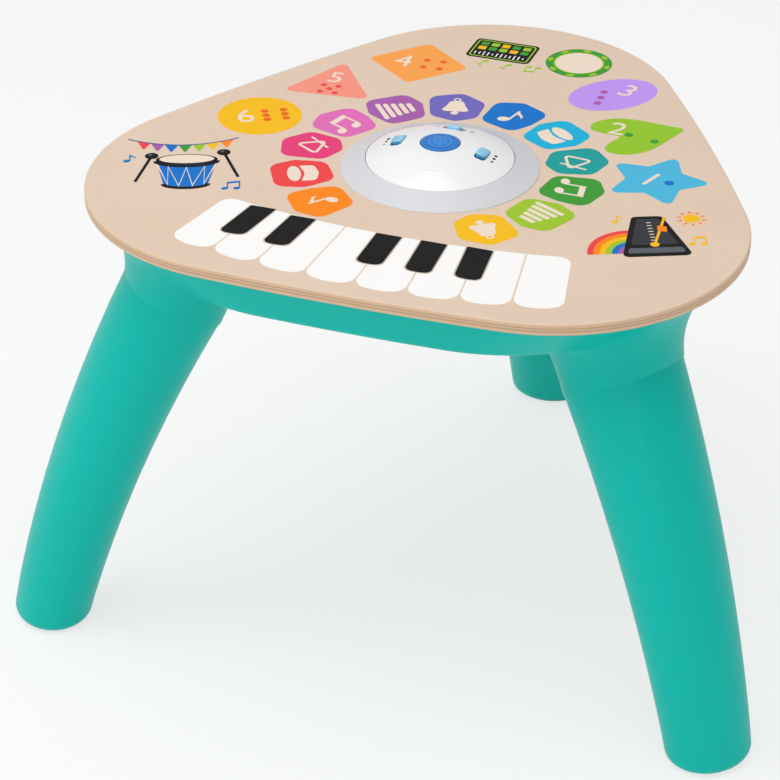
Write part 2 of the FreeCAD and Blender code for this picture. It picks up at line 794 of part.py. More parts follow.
clamp = body("clamp_plate")
clamp_outline = sketch(clamp, "clamp_outline", height=CLAMP_UNDER)
ring_of(clamp_outline, "clamp_radius")
ring_of(clamp_outline, "cable_hole")
for azimuth in CLAMP_AZIMUTHS:
    spot = turned(azimuth, x=1).Base
    ring_of(clamp_outline, "screw_shank + screw_play",
            f"clamp_circle * {spot.x:.12f}", f"clamp_circle * {spot.y:.12f}")
pad(clamp, clamp_outline, "clamp_thickness")
keep(clamp, "clamp_plate")
clamp_spots = [turned(azimuth, x=number("clamp_circle"), z=number(CLAMP_UNDER))
               for azimuth in CLAMP_AZIMUTHS]
keep(screws("clamp_screws", clamp_spots, "screw_head", "screw_head_height", "screw_shank",
            "clamp_thickness + screw_bite"), "clamp_screws")

# Domed cover, with posts for the circuit board and three slots for the slide knobs
BUTTON_HOLE = "(button_radius + button_play)"
DOME_IN = "(dome_radius - dome_wall)"
KNOB_LEAN = -math.degrees(math.asin(number("knob_circle / dome_crown")))


def knob_place(azimuth):
    """The dome's surface at a knob, with local Z square to it."""
    return turned(azimuth, x=number("knob_circle"), z=number(on_dome("knob_circle")),
                  tilt=KNOB_LEAN)


dome = turned_body("dome_turned", [
    (BUTTON_HOLE, on_dome(BUTTON_HOLE)),
    *crowned("dome_radius", DOME_CENTRE, "dome_crown", "dome_wall / 4"),
    ("dome_radius", "shelf_height"), (DOME_IN, "shelf_height"),
    (DOME_IN, on_dome(DOME_IN, "dome_wall")),
    (BUTTON_HOLE, on_dome(BUTTON_HOLE, "dome_wall"), "dome_crown - dome_wall")])
POST_TOP = on_dome("dome_post_circle - dome_post", "dome_wall")
dome_posts = []
dome_cuts = []
for i, azimuth in enumerate(DOME_POST_AZIMUTHS, start=1):
    spot = turned(azimuth, x=number("dome_post_circle"), z=number(BOARD_TOP))
    dome_posts.append(rod(f"dome_post_{i}", "dome_post", BOARD_TOP, POST_TOP, spot))
    dome_cuts.append(rod(f"dome_pilot_{i}", "screw_shank", BOARD_TOP,
                         f"{BOARD_TOP} + screw_bite", spot))
for name, azimuth in KNOB_AZIMUTHS.items():
    slot = block(f"{name}_slot", both("knob_wide / 2 + knob_play"),
                 both("knob_long / 2 + knob_travel + knob_play"),
                 ("-2 * dome_wall", "dome_wall"))
    slot = round_edges(f"{name}_slot_rounded", slot, "knob_round + knob_play", upright)
    slot.Placement = knob_place(azimuth)
    dome_cuts.append(slot)
keep(cut("dome_cover", fuse("dome_with_posts", [dome] + dome_posts),
         fuse("dome_cuts", dome_cuts)), "dome_cover")

# Circuit board under the dome, its screws, chip, button contact and slide switches
board = body("control_board")
board_outline = sketch(board, "board_outline", height=BOARD_UNDER)
ring_of(board_outline, "board_radius")
for azimuth in DOME_POST_AZIMUTHS:
    spot = turned(azimuth, x=1).Base
    ring_of(board_outline, "screw_shank + screw_play",
            f"dome_post_circle * {spot.x:.12f}", f"dome_post_circle * {spot.y:.12f}")
pad(board, board_outline, "board_thickness")
keep(board, "control_board")
board_spots = [turned(azimuth, x=number("dome_post_circle"), z=number(BOARD_UNDER))
               for azimuth in DOME_POST_AZIMUTHS]
keep(screws("board_screws", board_spots, "screw_head", "screw_head_height", "screw_shank",
            "board_thickness + screw_bite"), "board_screws")
keep(block("sound_chip", both("chip_side / 2"), both("chip_side / 2"),
           (f"{BOARD_UNDER} - chip_height", BOARD_UNDER)), "sound_chip",
     FreeCAD.Placement(V(-number("chip_side / 2"), -number("chip_side / 2"),
                         number(f"{BOARD_UNDER} - chip_height")), FreeCAD.Rotation()))

KEY_TOP = f"({BOARD_TOP} + key_height)"
KEY_ROOF = f"({KEY_TOP} - 2 * key_wall)"
keep(turned_body("rubber_key", [
    ("0", KEY_TOP), ("0", KEY_ROOF), ("key_pad - key_wall", KEY_ROOF),
    ("key_base - 2 * key_wall", BOARD_TOP), ("key_base", BOARD_TOP),
    ("key_base", f"{BOARD_TOP} + key_wall"), ("key_base - key_wall", f"{BOARD_TOP} + key_wall"),
    ("key_pad", KEY_ROOF), ("key_pad", KEY_TOP)]), "rubber_key")

BUTTON_EDGE = f"({on_dome('button_radius')} + button_stand)"
BUTTON_TOP = f"({BUTTON_EDGE} + button_crown - sqrt(button_crown^2 - button_radius^2))"
FLANGE_TOP = f"({on_dome('button_radius + button_flange', 'dome_wall')} - button_play)"
FLANGE_UNDER = f"({FLANGE_TOP} - button_flange_height)"
BUTTON_ROOF = f"({BUTTON_EDGE} - button_wall)"
button = turned_body("button_turned", [
    ("0", BUTTON_TOP),
    *crowned("button_radius", f"({BUTTON_TOP} - button_crown)", "button_crown", "button_round"),
    ("button_radius", FLANGE_TOP), ("button_radius + button_flange", FLANGE_TOP),
    ("button_radius + button_flange", FLANGE_UNDER), ("button_radius - button_wall", FLANGE_UNDER),
    ("button_radius - button_wall", BUTTON_ROOF), ("button_stem", BUTTON_ROOF),
    ("button_stem", f"{KEY_TOP} + key_play"), ("0", f"{KEY_TOP} + key_play")])
keep(button, "centre_button")

# Slide knobs: a rounded cap in the slot, a flange that hides the slot and a stem
KNOB_FLANGE_X = "(knob_wide / 2 + knob_flange)"
KNOB_FLANGE_Y = "(knob_long / 2 + 2 * knob_travel + knob_flange)"
FLANGE_SINK = (f"(dome_wall + knob_play + ({KNOB_FLANGE_Y} + knob_travel)^2"
               f" / (2 * (dome_crown - dome_wall)))")


def rectangle(drawing, half_x, half_y):
    outline(drawing, [(f"-({half_x})", f"-({half_y})"), (half_x, f"-({half_y})"),
                      (half_x, half_y), (f"-({half_x})", half_y)])


def knob(label):
    """A knob drawn about its own place on the dome, with local Z outwards."""
    owner = body(label)
    cap = sketch(owner, f"{label}_cap", height=f"-{FLANGE_SINK}")
    rectangle(cap, "knob_wide / 2", "knob_long / 2")
    pad(owner, cap, f"knob_stand + {FLANGE_SINK}")
    round_body(owner, "knob_round", upright)
    round_body(owner, "knob_stand / 2", level("knob_stand"))
    flange = sketch(owner, f"{label}_flange", height=f"-{FLANGE_SINK} - knob_flange_height")
    rectangle(flange, KNOB_FLANGE_X, KNOB_FLANGE_Y)
    pad(owner, flange, "knob_flange_height")
    stem = sketch(owner, f"{label}_stem", height="-knob_stem_reach")
    rectangle(stem, "knob_stem_wide / 2", "knob_stem_long / 2")
    pad(owner, stem, f"knob_stem_reach - {FLANGE_SINK}")
    return owner


def switch(label):
    """A slide switch on the board, with the channel that the knob's stem runs in."""
    owner = body(label)
    case = sketch(owner, f"{label}_case", height=BOARD_TOP)
    rectangle(case, "switch_wide / 2", "switch_long / 2")
    pad(owner, case, "switch_height")
    channel = sketch(owner, f"{label}_channel", height=f"{BOARD_TOP} + switch_floor")
    rectangle(channel, "knob_stem_wide / 2 + 2 * knob_play",
              "knob_stem_long / 2 + knob_travel + knob_play")
    pocket(owner, channel, "switch_height - switch_floor", back=True)
    return owner


stem_radius = number("knob_circle - knob_stem_reach * knob_circle / dome_crown")
for name, azimuth in KNOB_AZIMUTHS.items():
    keep(knob(f"{name}_knob"), f"{name}_knob", knob_place(azimuth))
    keep(switch(f"{name}_switch"), f"{name}_switch", turned(azimuth, x=stem_radius))

# Deck screws, up through the housing's posts
deck_spots = [turned(azimuth, x=number("boss_circle"), z=number(f"{TRAY_FLOOR} + counterbore"))
              for azimuth in BOSS_AZIMUTHS]
keep(screws("deck_screws", deck_spots, "screw_head", "screw_head_height", "screw_shank",
            "tray_depth - counterbore + screw_bite"), "deck_screws")

# Loudspeaker: a pressed frame, a paper cone with its dust cap and a magnet
FRAME_TOP = "(speaker_flange + speaker_basket)"
speaker_place = turned(0, y=number("speaker_place"), z=number(FLOOR_TOP))
keep(turned_body("speaker_frame", [
    ("speaker_radius", "0"), ("speaker_radius", "speaker_flange"),
    ("speaker_radius - wall", "speaker_flange"), ("speaker_neck + speaker_flange", FRAME_TOP),
    ("speaker_vent", FRAME_TOP), ("speaker_vent", f"{FRAME_TOP} - speaker_flange"),
    ("speaker_neck", f"{FRAME_TOP} - speaker_flange"), ("speaker_radius - 2 * wall", "0")]),
     "speaker_frame", speaker_place)
keep(turned_body("speaker_magnet", [
    ("0", FRAME_TOP), ("magnet_radius", FRAME_TOP),
    ("magnet_radius", f"{FRAME_TOP} + magnet_height"), ("0", f"{FRAME_TOP} + magnet_height")]),
     "speaker_magnet", speaker_place)
CONE_LIP = "(speaker_radius - 2 * wall - 2 * speaker_play)"
keep(turned_body("speaker_cone", [
    (CONE_LIP, "0"), ("speaker_neck - speaker_play", "speaker_basket / 2"),
    ("0", "speaker_basket / 2"), ("0", "speaker_basket / 2 + cone_paper"),
    ("speaker_neck - speaker_play", "speaker_basket / 2 + cone_paper"),
    (CONE_LIP, "cone_paper")]), "speaker_cone", speaker_place)

# Batteries, side by side and turned end for end, between sprung contact strips
CELL_END = "(cell_length + cell_tip)"
for i in range(3):
    way = 1 if i % 2 else -1
    lie = FreeCAD.Rotation(V(1, 0, 0), -90 * way)
    middle = V((i - 1) * number("cell_pitch"), -number("well_place"), number(CELL_HEIGHT))
    start = middle - V(0, way * number(f"{CELL_END} / 2"), 0)
    keep(turned_body(f"battery_{i + 1}", [
        ("0", "0"), ("cell_radius", "0"), ("cell_radius", "cell_length"),
        ("cell_tip_radius", "cell_length"), ("cell_tip_radius", CELL_END), ("0", CELL_END)]),
         f"battery_{i + 1}", FreeCAD.Placement(start, lie))


def contact(label):
    """A strip of spring steel bent into a shallow V that bears on a battery's end."""
    owner = body(label)
    strip = sketch(owner, f"{label}_bend", "YZ_Plane", height="-cell_tip_radius")
    outline(strip, [
        ("0", "-cell_radius"), ("contact_sheet", "-cell_radius"),
        ("contact_sheet", "-cell_tip_radius"), ("contact_room", "0"),
        ("contact_sheet", "cell_tip_radius"), ("contact_sheet", "cell_radius - cell_play"),
        ("0", "cell_radius - cell_play"), ("0", "cell_tip_radius"),
        ("contact_room - 2 * contact_sheet", "0"), ("0", "-cell_tip_radius")])
    pad(owner, strip, "2 * cell_tip_radius")
    return owner


contacts = []
for i in range(3):
    for end, spin in ((-1, 0), (1, 180)):
        strip = contact(f"contact_{i + 1}_{'front' if end < 0 else 'back'}")
        strip.Placement = FreeCAD.Placement(
            V((i - 1) * number("cell_pitch"), number(f"-well_place + {end} * {WELL_Y}"),
              number(CELL_HEIGHT)), FreeCAD.Rotation(Z_AXIS, spin))
        contacts.append(strip)
keep(group("battery_contacts", contacts), "battery_contacts")

# Battery door: a plate with two hooks at its hinge edge and a screw at the other
door_plate = block("door_plate", both(DOOR_X), (DOOR_FRONT, HINGE_Y), (TRAY_FLOOR, DOOR_TOP))
door_hooks = []
for turn in (-1, 1):
    sides = (f"{turn} * tab_place - tab_width / 2", f"{turn} * tab_place + tab_width / 2")
    door_hooks.append(block(f"door_hook_{turn + 2}", sides,
                            (f"{HINGE_Y} - tab_thickness", f"{HINGE_Y} + tab_reach"),
                            (DOOR_TOP, f"{DOOR_TOP} + tab_thickness")))
door_hole = rod("door_hole", "screw_shank + screw_play", TRAY_FLOOR, DOOR_TOP, y=DOOR_SCREW_Y)
door_sink = rod("door_sink", "screw_head + screw_play", TRAY_FLOOR,
                f"{TRAY_FLOOR} + door_thickness / 2", y=DOOR_SCREW_Y)
keep(cut("battery_door", fuse("door_with_hooks", [door_plate] + door_hooks),
         fuse("door_holes", [door_hole, door_sink])), "battery_door")
screw_spot = turned(0, y=number(DOOR_SCREW_Y), z=number(f"{TRAY_FLOOR} + door_thickness / 2"))
keep(screws("battery_door_screw", [screw_spot], "screw_head", "door_thickness / 2",
            "screw_shank", "door_thickness / 2 + screw_bite"), "battery_door_screw")

doc.recompute()
for thing in doc.Objects:
    if "Invalid" in thing.State or "Error" in thing.State:
        raise RuntimeError(f"{thing.Name} did not build: {thing.State}")
for label, thing in pieces.items():
    if thing.Shape.isNull() or not thing.Shape.isValid():
        raise RuntimeError(f"{label} has no sound shape")
os.makedirs("parts", exist_ok=True)
for label, thing in pieces.items():
    thing.Shape.exportStep(f"parts/{label}.step")
    print(f"{label}: {len(thing.Shape.Solids)} solid(s), {thing.Shape.Volume / 1000:.1f} cm3")
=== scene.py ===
import math

import bmesh
import bpy
from mathutils import Euler, Matrix, Vector


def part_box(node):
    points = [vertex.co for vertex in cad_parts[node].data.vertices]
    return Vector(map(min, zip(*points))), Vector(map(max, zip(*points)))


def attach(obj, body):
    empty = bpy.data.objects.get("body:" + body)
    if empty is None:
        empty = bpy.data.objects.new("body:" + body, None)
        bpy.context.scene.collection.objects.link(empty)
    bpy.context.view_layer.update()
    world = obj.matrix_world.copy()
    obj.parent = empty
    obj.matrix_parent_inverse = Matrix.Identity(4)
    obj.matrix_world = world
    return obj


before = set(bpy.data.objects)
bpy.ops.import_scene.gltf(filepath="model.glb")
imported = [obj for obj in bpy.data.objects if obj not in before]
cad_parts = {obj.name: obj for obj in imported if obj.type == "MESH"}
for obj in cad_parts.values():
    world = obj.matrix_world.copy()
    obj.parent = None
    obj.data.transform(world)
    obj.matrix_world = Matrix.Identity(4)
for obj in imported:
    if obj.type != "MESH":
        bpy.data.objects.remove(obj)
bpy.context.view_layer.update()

# The tray under the deck and the three hollow legs are injection moulded in one teal plastic.
# Each leg is pushed up into a flared collar of the tray and can be pulled off again for storage.
# The mould is lightly spark eroded, so the skin is satin, with soft highlights along the legs.


def srgb(red, green, blue):
    """A colour read off a screen, 0 to 255 each, as the linear values that a shader takes."""
    shares = [value / 255 for value in (red, green, blue)]
    return tuple(s / 12.92 if s <= 0.04045 else ((s + 0.055) / 1.055) ** 2.4 for s in shares)


class Value:
    """A socket of a finish's nodes. Sums and products of it add their own Math nodes."""

    def __init__(self, finish, socket):
        self.finish = finish
        self.socket = socket

    def __getitem__(self, name):
        return Value(self.finish, self.socket.node.outputs[name])

    def __add__(self, other):
        return self.finish.add("Math", {"operation": "ADD"}, {0: self, 1: other})

    def __sub__(self, other):
        return self.finish.add("Math", {"operation": "SUBTRACT"}, {0: self, 1: other})

    def __rsub__(self, other):
        return self.finish.add("Math", {"operation": "SUBTRACT"}, {0: other, 1: self})

    def __mul__(self, other):
        return self.finish.add("Math", {"operation": "MULTIPLY"}, {0: self, 1: other})

    def __gt__(self, other):
        return self.finish.add("Math", {"operation": "GREATER_THAN"}, {0: self, 1: other})

    def __lt__(self, other):
        return self.finish.add("Math", {"operation": "LESS_THAN"}, {0: self, 1: other})

    __radd__ = __add__
    __rmul__ = __mul__


class Finish:
    """A material being mixed. Its constants go on the shader, and add() makes any other node."""

    def __init__(self, name, colour, **constants):
        self.material = bpy.data.materials.new(name)
        self.material.use_nodes = True
        self.nodes = self.material.node_tree.nodes
        self.shader = self.nodes["Principled BSDF"]
        self.feed(self.shader, {"Base Color": colour})
        self.feed(self.shader, {key.replace("_", " "): value for key, value in constants.items()})

    def feed(self, node, sockets):
        for key, value in sockets.items():
            if isinstance(value, Value):
                self.material.node_tree.links.new(value.socket, node.inputs[key])
            elif isinstance(value, tuple) and node.inputs[key].type == "RGBA":
                node.inputs[key].default_value = (*value, 1)
            else:
                node.inputs[key].default_value = value

    def add(self, kind, settings, sockets):
        node = self.nodes.new("ShaderNode" + kind)
        for key, value in settings.items():
            if key == "stops":
                for place, _ in value[2:]:
                    node.color_ramp.elements.new(place)
                for element, (place, colour) in zip(node.color_ramp.elements, value):
                    element.position = place
                    element.color = (*colour, 1)
            else:
                setattr(node.color_ramp if kind == "ValToRGB" else node, key, value)
        self.feed(node, sockets)
        return Value(self, node.outputs[0])

    def place(self):
        """Where a point lies on the piece, in metres of the table's own frame."""
        return self.add("TexCoord", {}, {})["Object"]

    def noise(self, scale, detail=2.0, stretch=(1, 1, 1), distortion=0.0):
        """Cloudy values near 0.5, with scale clouds to the metre, drawn out by stretch."""
        spot = self.add("Mapping", {}, {"Vector": self.place(), "Scale": stretch})
        return self.add("TexNoise", {}, {"Vector": spot, "Scale": scale, "Detail": detail,
                                         "Distortion": distortion})

    def blend(self, share, low, high):
        node = self.nodes.new("ShaderNodeMix")
        node.data_type = "RGBA"
        self.feed(node, {0: share, 6: low, 7: high})
        return Value(self, node.outputs[2])

    def relief(self, height, depth):
        """Raises the surface by height times depth metres, in shading alone."""
        bump = self.add("Bump", {}, {"Height": height, "Distance": depth, "Strength": 1.0})
        self.feed(self.shader, {"Normal": bump})

    def on(self, *names):
        """Gives the finish to CAD nodes."""
        for name in names:
            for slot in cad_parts[name].material_slots:
                slot.material = self.material
        return self.material


def moulded(name, colour, shade, roughness, grain=2600, depth=0.00002, **constants):
    """Moulded plastic: a faintly uneven colour and a fine even grain from the mould's skin."""
    plastic = Finish(name, colour, **constants)
    cloud = plastic.noise(9, 3)
    speck = plastic.noise(grain, 1)
    plastic.feed(plastic.shader, {
        "Base Color": plastic.blend(cloud, colour, shade),
        "Roughness": roughness - 0.06 + 0.12 * speck})
    plastic.relief(speck, depth)
    return plastic


teal = moulded("teal_plastic", srgb(0, 191, 178), srgb(0, 197, 184), 0.4,
               Specular_IOR_Level=0.18)
teal.on("base_housing", "leg_front_left", "leg_front_right", "leg_rear", "battery_door")

# The deck is an 8 mm birch plywood panel with its edge rounded over and left bare.
# A clear satin lacquer lies over the pale face veneer, whose grain runs from left to right.
# The sensing film is glued to its underside, so it shows only when the tray is off.
deck_low, deck_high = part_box("top_panel")
DECK_TOP = deck_high.z
PLY_LIGHT = srgb(226, 192, 158)
PLY_DARK = srgb(190, 146, 112)
veneer = Finish("birch_plywood", srgb(229, 204, 181), Coat_Weight=0.15, Coat_Roughness=0.35)
fibre = veneer.noise(30, 5, (1, 16, 1), 0.6)
pore = veneer.noise(140, 2, (1, 14, 1))
mottle = veneer.noise(7, 2, (1, 2.5, 1))
face = veneer.blend(0.35 * fibre + 0.45 * mottle + 0.1, srgb(222, 194, 169), srgb(238, 216, 196))
flecked = veneer.blend((pore > 0.62) * 0.16, face, srgb(198, 164, 134))
depth_in = veneer.add("SeparateXYZ", {}, {"Vector": veneer.place()})["Z"]
ply = veneer.add("ValToRGB", {"stops": [
    (0.0, PLY_DARK), (0.1, PLY_LIGHT), (0.3, PLY_LIGHT), (0.38, PLY_DARK), (0.5, PLY_LIGHT),
    (0.56, PLY_LIGHT), (0.63, PLY_DARK), (0.72, PLY_LIGHT), (0.92, PLY_LIGHT), (1.0, PLY_LIGHT)]},
    {"Fac": (depth_in - deck_low.z) * (1 / (deck_high.z - deck_low.z)) + 0.05 * fibre - 0.025})
way = veneer.add("SeparateXYZ", {}, {"Vector": veneer.add("TexCoord", {}, {})["Normal"]})["Z"]
flat = (way > 0.8) + (way * -1 > 0.8)
veneer.feed(veneer.shader, {"Base Color": veneer.blend(flat, ply, flecked),
                            "Roughness": 0.42 + 0.16 * fibre})
veneer.relief(fibre + 0.6 * pore, 0.00004)
veneer.on("top_panel")

# The sensing film is a clear amber sheet with fine silver tracks, glued under the deck.
# The tracks run across it in a grid, one pad to a printed key or patch.
film = Finish("sensing_film", srgb(206, 178, 120), Roughness=0.3)
TRACKS_PER_METRE = 160
spot = film.add("SeparateXYZ", {}, {"Vector": film.place()})
tracks = [film.add("Math", {"operation": "FRACT"}, {0: spot[axis] * TRACKS_PER_METRE}) > 0.9
          for axis in "XY"]
film.feed(film.shader, {
    "Base Color": film.blend(tracks[0] + tracks[1], srgb(206, 178, 120), srgb(196, 198, 196)),
    "Roughness": 0.25 + 0.2 * film.noise(40)})
film.on("touch_film")

# The sound module's ring is a pale grey satin moulding that slopes up from the deck.
# The domed cover sits in it, in white with a semi-gloss skin, and holds the works.
ring_grey = moulded("ring_plastic", srgb(212, 213, 217), srgb(218, 219, 223), 0.4, depth=0.00001)
ring_grey.on("trim_ring")
cover = moulded("cover_plastic", srgb(243, 243, 245), srgb(247, 247, 248), 0.24, depth=0.000004,
                Coat_Weight=0.3, Coat_Roughness=0.12)
cover.on("dome_cover")
moulded("clamp_plastic", srgb(206, 206, 202), srgb(214, 214, 210), 0.5).on("clamp_plate")

# The centre button is one glossy blue cap with four fine raised rings round its middle.
# The rings are paler lines of painted highlight, and the cap darkens towards its rim as painted
# shade, with a narrow pale band of painted highlight just inside the rim.
button_low, button_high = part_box("centre_button")
BUTTON_RADIUS = 0.0135
RINGED_SHARE = 0.8
RING_ANGLE = 25
blue_cap = Finish("blue_button_plastic", srgb(4, 112, 204), Coat_Weight=0.4, Coat_Roughness=0.06,
                  Specular_IOR_Level=0.2)
aside = blue_cap.add("VectorMath", {"operation": "SUBTRACT"}, {
    0: blue_cap.place(), 1: (button_low.x / 2 + button_high.x / 2,
                             button_low.y / 2 + button_high.y / 2, button_high.z)})
flatwise = blue_cap.add("VectorMath", {"operation": "MULTIPLY"}, {0: aside, 1: (1, 1, 0)})
reach = blue_cap.add("VectorMath", {"operation": "LENGTH"}, {0: flatwise})["Value"]
share = reach * (1 / BUTTON_RADIUS)
waves = blue_cap.add("Math", {"operation": "SINE"}, {0: share * RING_ANGLE})
ring_relief_and_painted_highlight = waves * (RINGED_SHARE > share)
# Painted shade: the blue darkens outwards to the rim, and the pale band near the rim is a painted
# highlight.
body = blue_cap.add("ValToRGB", {"stops": [
    (0.0, srgb(0, 132, 220)), (0.55, srgb(0, 120, 210)), (0.86, srgb(0, 106, 196)),
    (0.92, srgb(20, 148, 226)), (1.0, srgb(0, 80, 160))]}, {"Fac": share})
# Where the raised rings stand, the colour is blended to pale blue: a painted highlight.
blue_cap.feed(blue_cap.shader, {
    "Base Color": blue_cap.blend((ring_relief_and_painted_highlight > 0.6) * 0.45, body, srgb(96, 172, 236)),
    "Roughness": 0.2 + 0.08 * blue_cap.noise(300)})
blue_cap.relief(ring_relief_and_painted_highlight, 0.00012)
blue_cap.on("centre_button")

# The three slide knobs are pale blue caps of a slightly milky, glossy plastic.
# Each stands in a slot of the dome: loudness at the left, language at the rear, mode right.
# The cap is painted darker towards the flange that closes the slot from inside, as painted shade in
# the slot, and paler towards its top, as painted light from above.
for name in ("volume_knob", "language_knob", "mode_knob"):
    knob_low, knob_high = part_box(name)
    pale = Finish(name + "_plastic", srgb(122, 202, 238), Coat_Weight=0.7, Coat_Roughness=0.06)
    height = pale.add("SeparateXYZ", {}, {"Vector": pale.place()})["Z"]
    # The ramp over height is painted shade low down, in the slot, and painted light at the top.
    pale.feed(pale.shader, {
        "Base Color": pale.add("ValToRGB", {"stops": [
            (0.0, srgb(6, 66, 130)), (0.62, srgb(16, 96, 172)), (0.8, srgb(84, 178, 226)),
            (1.0, srgb(150, 218, 246))]},
            {"Fac": (height - knob_low.z) * (1 / (knob_high.z - knob_low.z))}),
        "Roughness": 0.16 + 0.1 * pale.noise(260)})
    pale.on(name)

# Under the dome lie a green circuit board, its chip, three slide switches and a rubber key.
# The rubber key lifts the centre button back and closes a contact on the board.
board = Finish("circuit_board", srgb(22, 104, 58), Coat_Weight=0.4, Coat_Roughness=0.2)
cells = board.add("TexVoronoi", {"distance": "MANHATTAN", "feature": "DISTANCE_TO_EDGE"},
                  {"Vector": board.place(), "Scale": 190.0})
board.feed(board.shader, {
    "Base Color": board.blend(0.06 > cells, srgb(18, 92, 52), srgb(52, 146, 86)),
    "Roughness": 0.3 + 0.2 * board.noise(200)})
board.on("control_board")
moulded("black_plastic", srgb(26, 26, 28), srgb(34, 34, 36), 0.45).on(
    "sound_chip", "volume_switch", "language_switch", "mode_switch")
moulded("key_rubber", srgb(150, 150, 150), srgb(158, 158, 156), 0.7).on("rubber_key")

# The loudspeaker has a pressed steel frame, a black ferrite magnet and a dark paper cone.
# It hangs over the slots in the tray's floor, so only the cone shows, and from below.
moulded("speaker_steel", srgb(150, 152, 156), srgb(164, 166, 170), 0.36, 400, 0.000004,
        Metallic=1.0).on("speaker_frame")
moulded("ferrite", srgb(44, 44, 46), srgb(58, 58, 60), 0.6, 900).on("speaker_magnet")
moulded("cone_paper", srgb(34, 34, 35), srgb(46, 45, 44), 0.85, 1400, 0.00006).on("speaker_cone")

# Three AA cells of no make lie side by side, turned end for end, in plain dark sleeves.
# Each sleeve has a copper band at the cell's raised end; the ends themselves are bare steel.
# Nickel-plated strips of spring steel press on both ends.
for i in range(3):
    cell_low, cell_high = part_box(f"battery_{i + 1}")
    raised = -1 if i % 2 == 0 else 1
    cell = Finish(f"battery_{i + 1}_sleeve", srgb(40, 42, 46))
    along = cell.add("SeparateXYZ", {}, {"Vector": cell.place()})["Y"]
    onward = (along - (cell_low.y + cell_high.y) / 2) * (raised * 1000)
    sleeve = cell.add("ValToRGB", {"interpolation": "CONSTANT", "stops": [
        (0.0, srgb(178, 178, 178)), (0.04, srgb(40, 42, 46)), (0.7, srgb(190, 118, 62)),
        (0.93, srgb(178, 178, 178))]}, {"Fac": onward * 0.02 + 0.5})
    bare = (onward > 21.5) + (-23.5 > onward)
    cell.feed(cell.shader, {"Base Color": sleeve, "Metallic": bare,
                            "Roughness": 0.3 + 0.1 * cell.noise(300)})
    cell.on(f"battery_{i + 1}")
nickel = moulded("nickel_plate", srgb(196, 194, 188), srgb(206, 204, 198), 0.28, 500, 0.000004,
                 Metallic=1.0)
nickel.on("battery_contacts")

# Six pan-head screws come up through the tray's floor and hold it to the deck.
# Others hold the clamping plate, the circuit board and the battery door. All are zinc plated.
# The heads that show from below have a cross recess for the screwdriver, drawn as a dark cross of
# painted shade.
zinc = moulded("zinc_plate", srgb(158, 160, 166), srgb(176, 178, 182), 0.34, 900, 0.000006,
               Metallic=1.0)
zinc.on("deck_screws", "clamp_screws", "board_screws", "battery_door_screw")
SCREW_CIRCLE = 0.155
CROSS_LENGTH = 0.0036
CROSS_WIDTH = 0.0008
CROSS_DEPTH = 0.0003
CROSS_PROUD = 0.00004


def copies_tree():
    """Geometry Nodes that turn copies of a mesh about an upright axis through a centre."""
    tree = bpy.data.node_groups.new("turned_copies", "GeometryNodeTree")
    names = {}
    for name, kind in (("Mesh", "Geometry"), ("Count", "Int"), ("Step", "Float"),
                       ("Centre", "Vector"), ("Material", "Material")):
        names[name] = tree.interface.new_socket(
            name, in_out="INPUT", socket_type="NodeSocket" + kind).identifier
    tree.interface.new_socket("Mesh", in_out="OUTPUT", socket_type="NodeSocketGeometry")
    given = tree.nodes.new("NodeGroupInput").outputs

    def add(kind, sockets, operation=None):
        node = tree.nodes.new(kind)
        if operation:
            node.operation = operation
        for key, value in sockets.items():
            if isinstance(value, bpy.types.NodeSocket):
                tree.links.new(value, node.inputs[key])
            else:
                node.inputs[key].default_value = value
        return node.outputs[0] if node.outputs else None

    away = add("ShaderNodeVectorMath", {"Vector": given["Centre"], "Scale": -1.0}, "SCALE")
    first = add("GeometryNodeTransform", {"Geometry": given["Mesh"], "Translation": away})
    points = add("GeometryNodePoints", {"Count": given["Count"], "Position": given["Centre"]})
    angle = add("ShaderNodeMath", {0: add("GeometryNodeInputIndex", {}), 1: given["Step"]},
                "MULTIPLY")
    turn = add("ShaderNodeCombineXYZ", {"Z": angle})
    copies = add("GeometryNodeInstanceOnPoints",
                 {"Points": points, "Instance": first, "Rotation": turn})
    whole = add("GeometryNodeRealizeInstances", {"Geometry": copies})
    coated = add("GeometryNodeSetMaterial", {"Geometry": whole, "Material": given["Material"]})
    add("NodeGroupOutput", {"Mesh": coated})
    return tree, names


COPIES, COPY_SOCKETS = copies_tree()


def repeat(piece, count, step, centre, material):
    """Replaces an object's mesh by count copies of it, each a step in degrees further round."""
    modifier = piece.modifiers.new("copies", "NODES")
    modifier.node_group = COPIES
    for name, value in (("Count", count), ("Step", math.radians(step)), ("Centre", centre),
                        ("Material", material)):
        modifier[COPY_SOCKETS[name]] = value
    seen = piece.evaluated_get(bpy.context.evaluated_depsgraph_get())
    copies = bpy.data.meshes.new_from_object(seen)
    piece.modifiers.clear()
    piece.data = copies
    return piece


def cross_recess(name, x, y, head):
    """A dark cross of painted shade at a screw head's recess, at x, y from the table's axis, below
    height head.
    """
    mesh = bmesh.new()
    for long, wide in ((CROSS_LENGTH, CROSS_WIDTH), (CROSS_WIDTH, CROSS_LENGTH)):
        middle = Vector((x, y, head - CROSS_PROUD + CROSS_DEPTH / 2))
        bmesh.ops.create_cube(mesh, size=1, matrix=Matrix.Translation(middle)
                              @ Matrix.Diagonal((long, wide, CROSS_DEPTH, 1)))
    data = bpy.data.meshes.new(name)
    mesh.to_mesh(data)
    mesh.free()
    piece = bpy.data.objects.new(name, data)
    bpy.context.scene.collection.objects.link(piece)
    return piece


ring_low, ring_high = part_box("trim_ring")
AXIS = (ring_low + ring_high) / 2
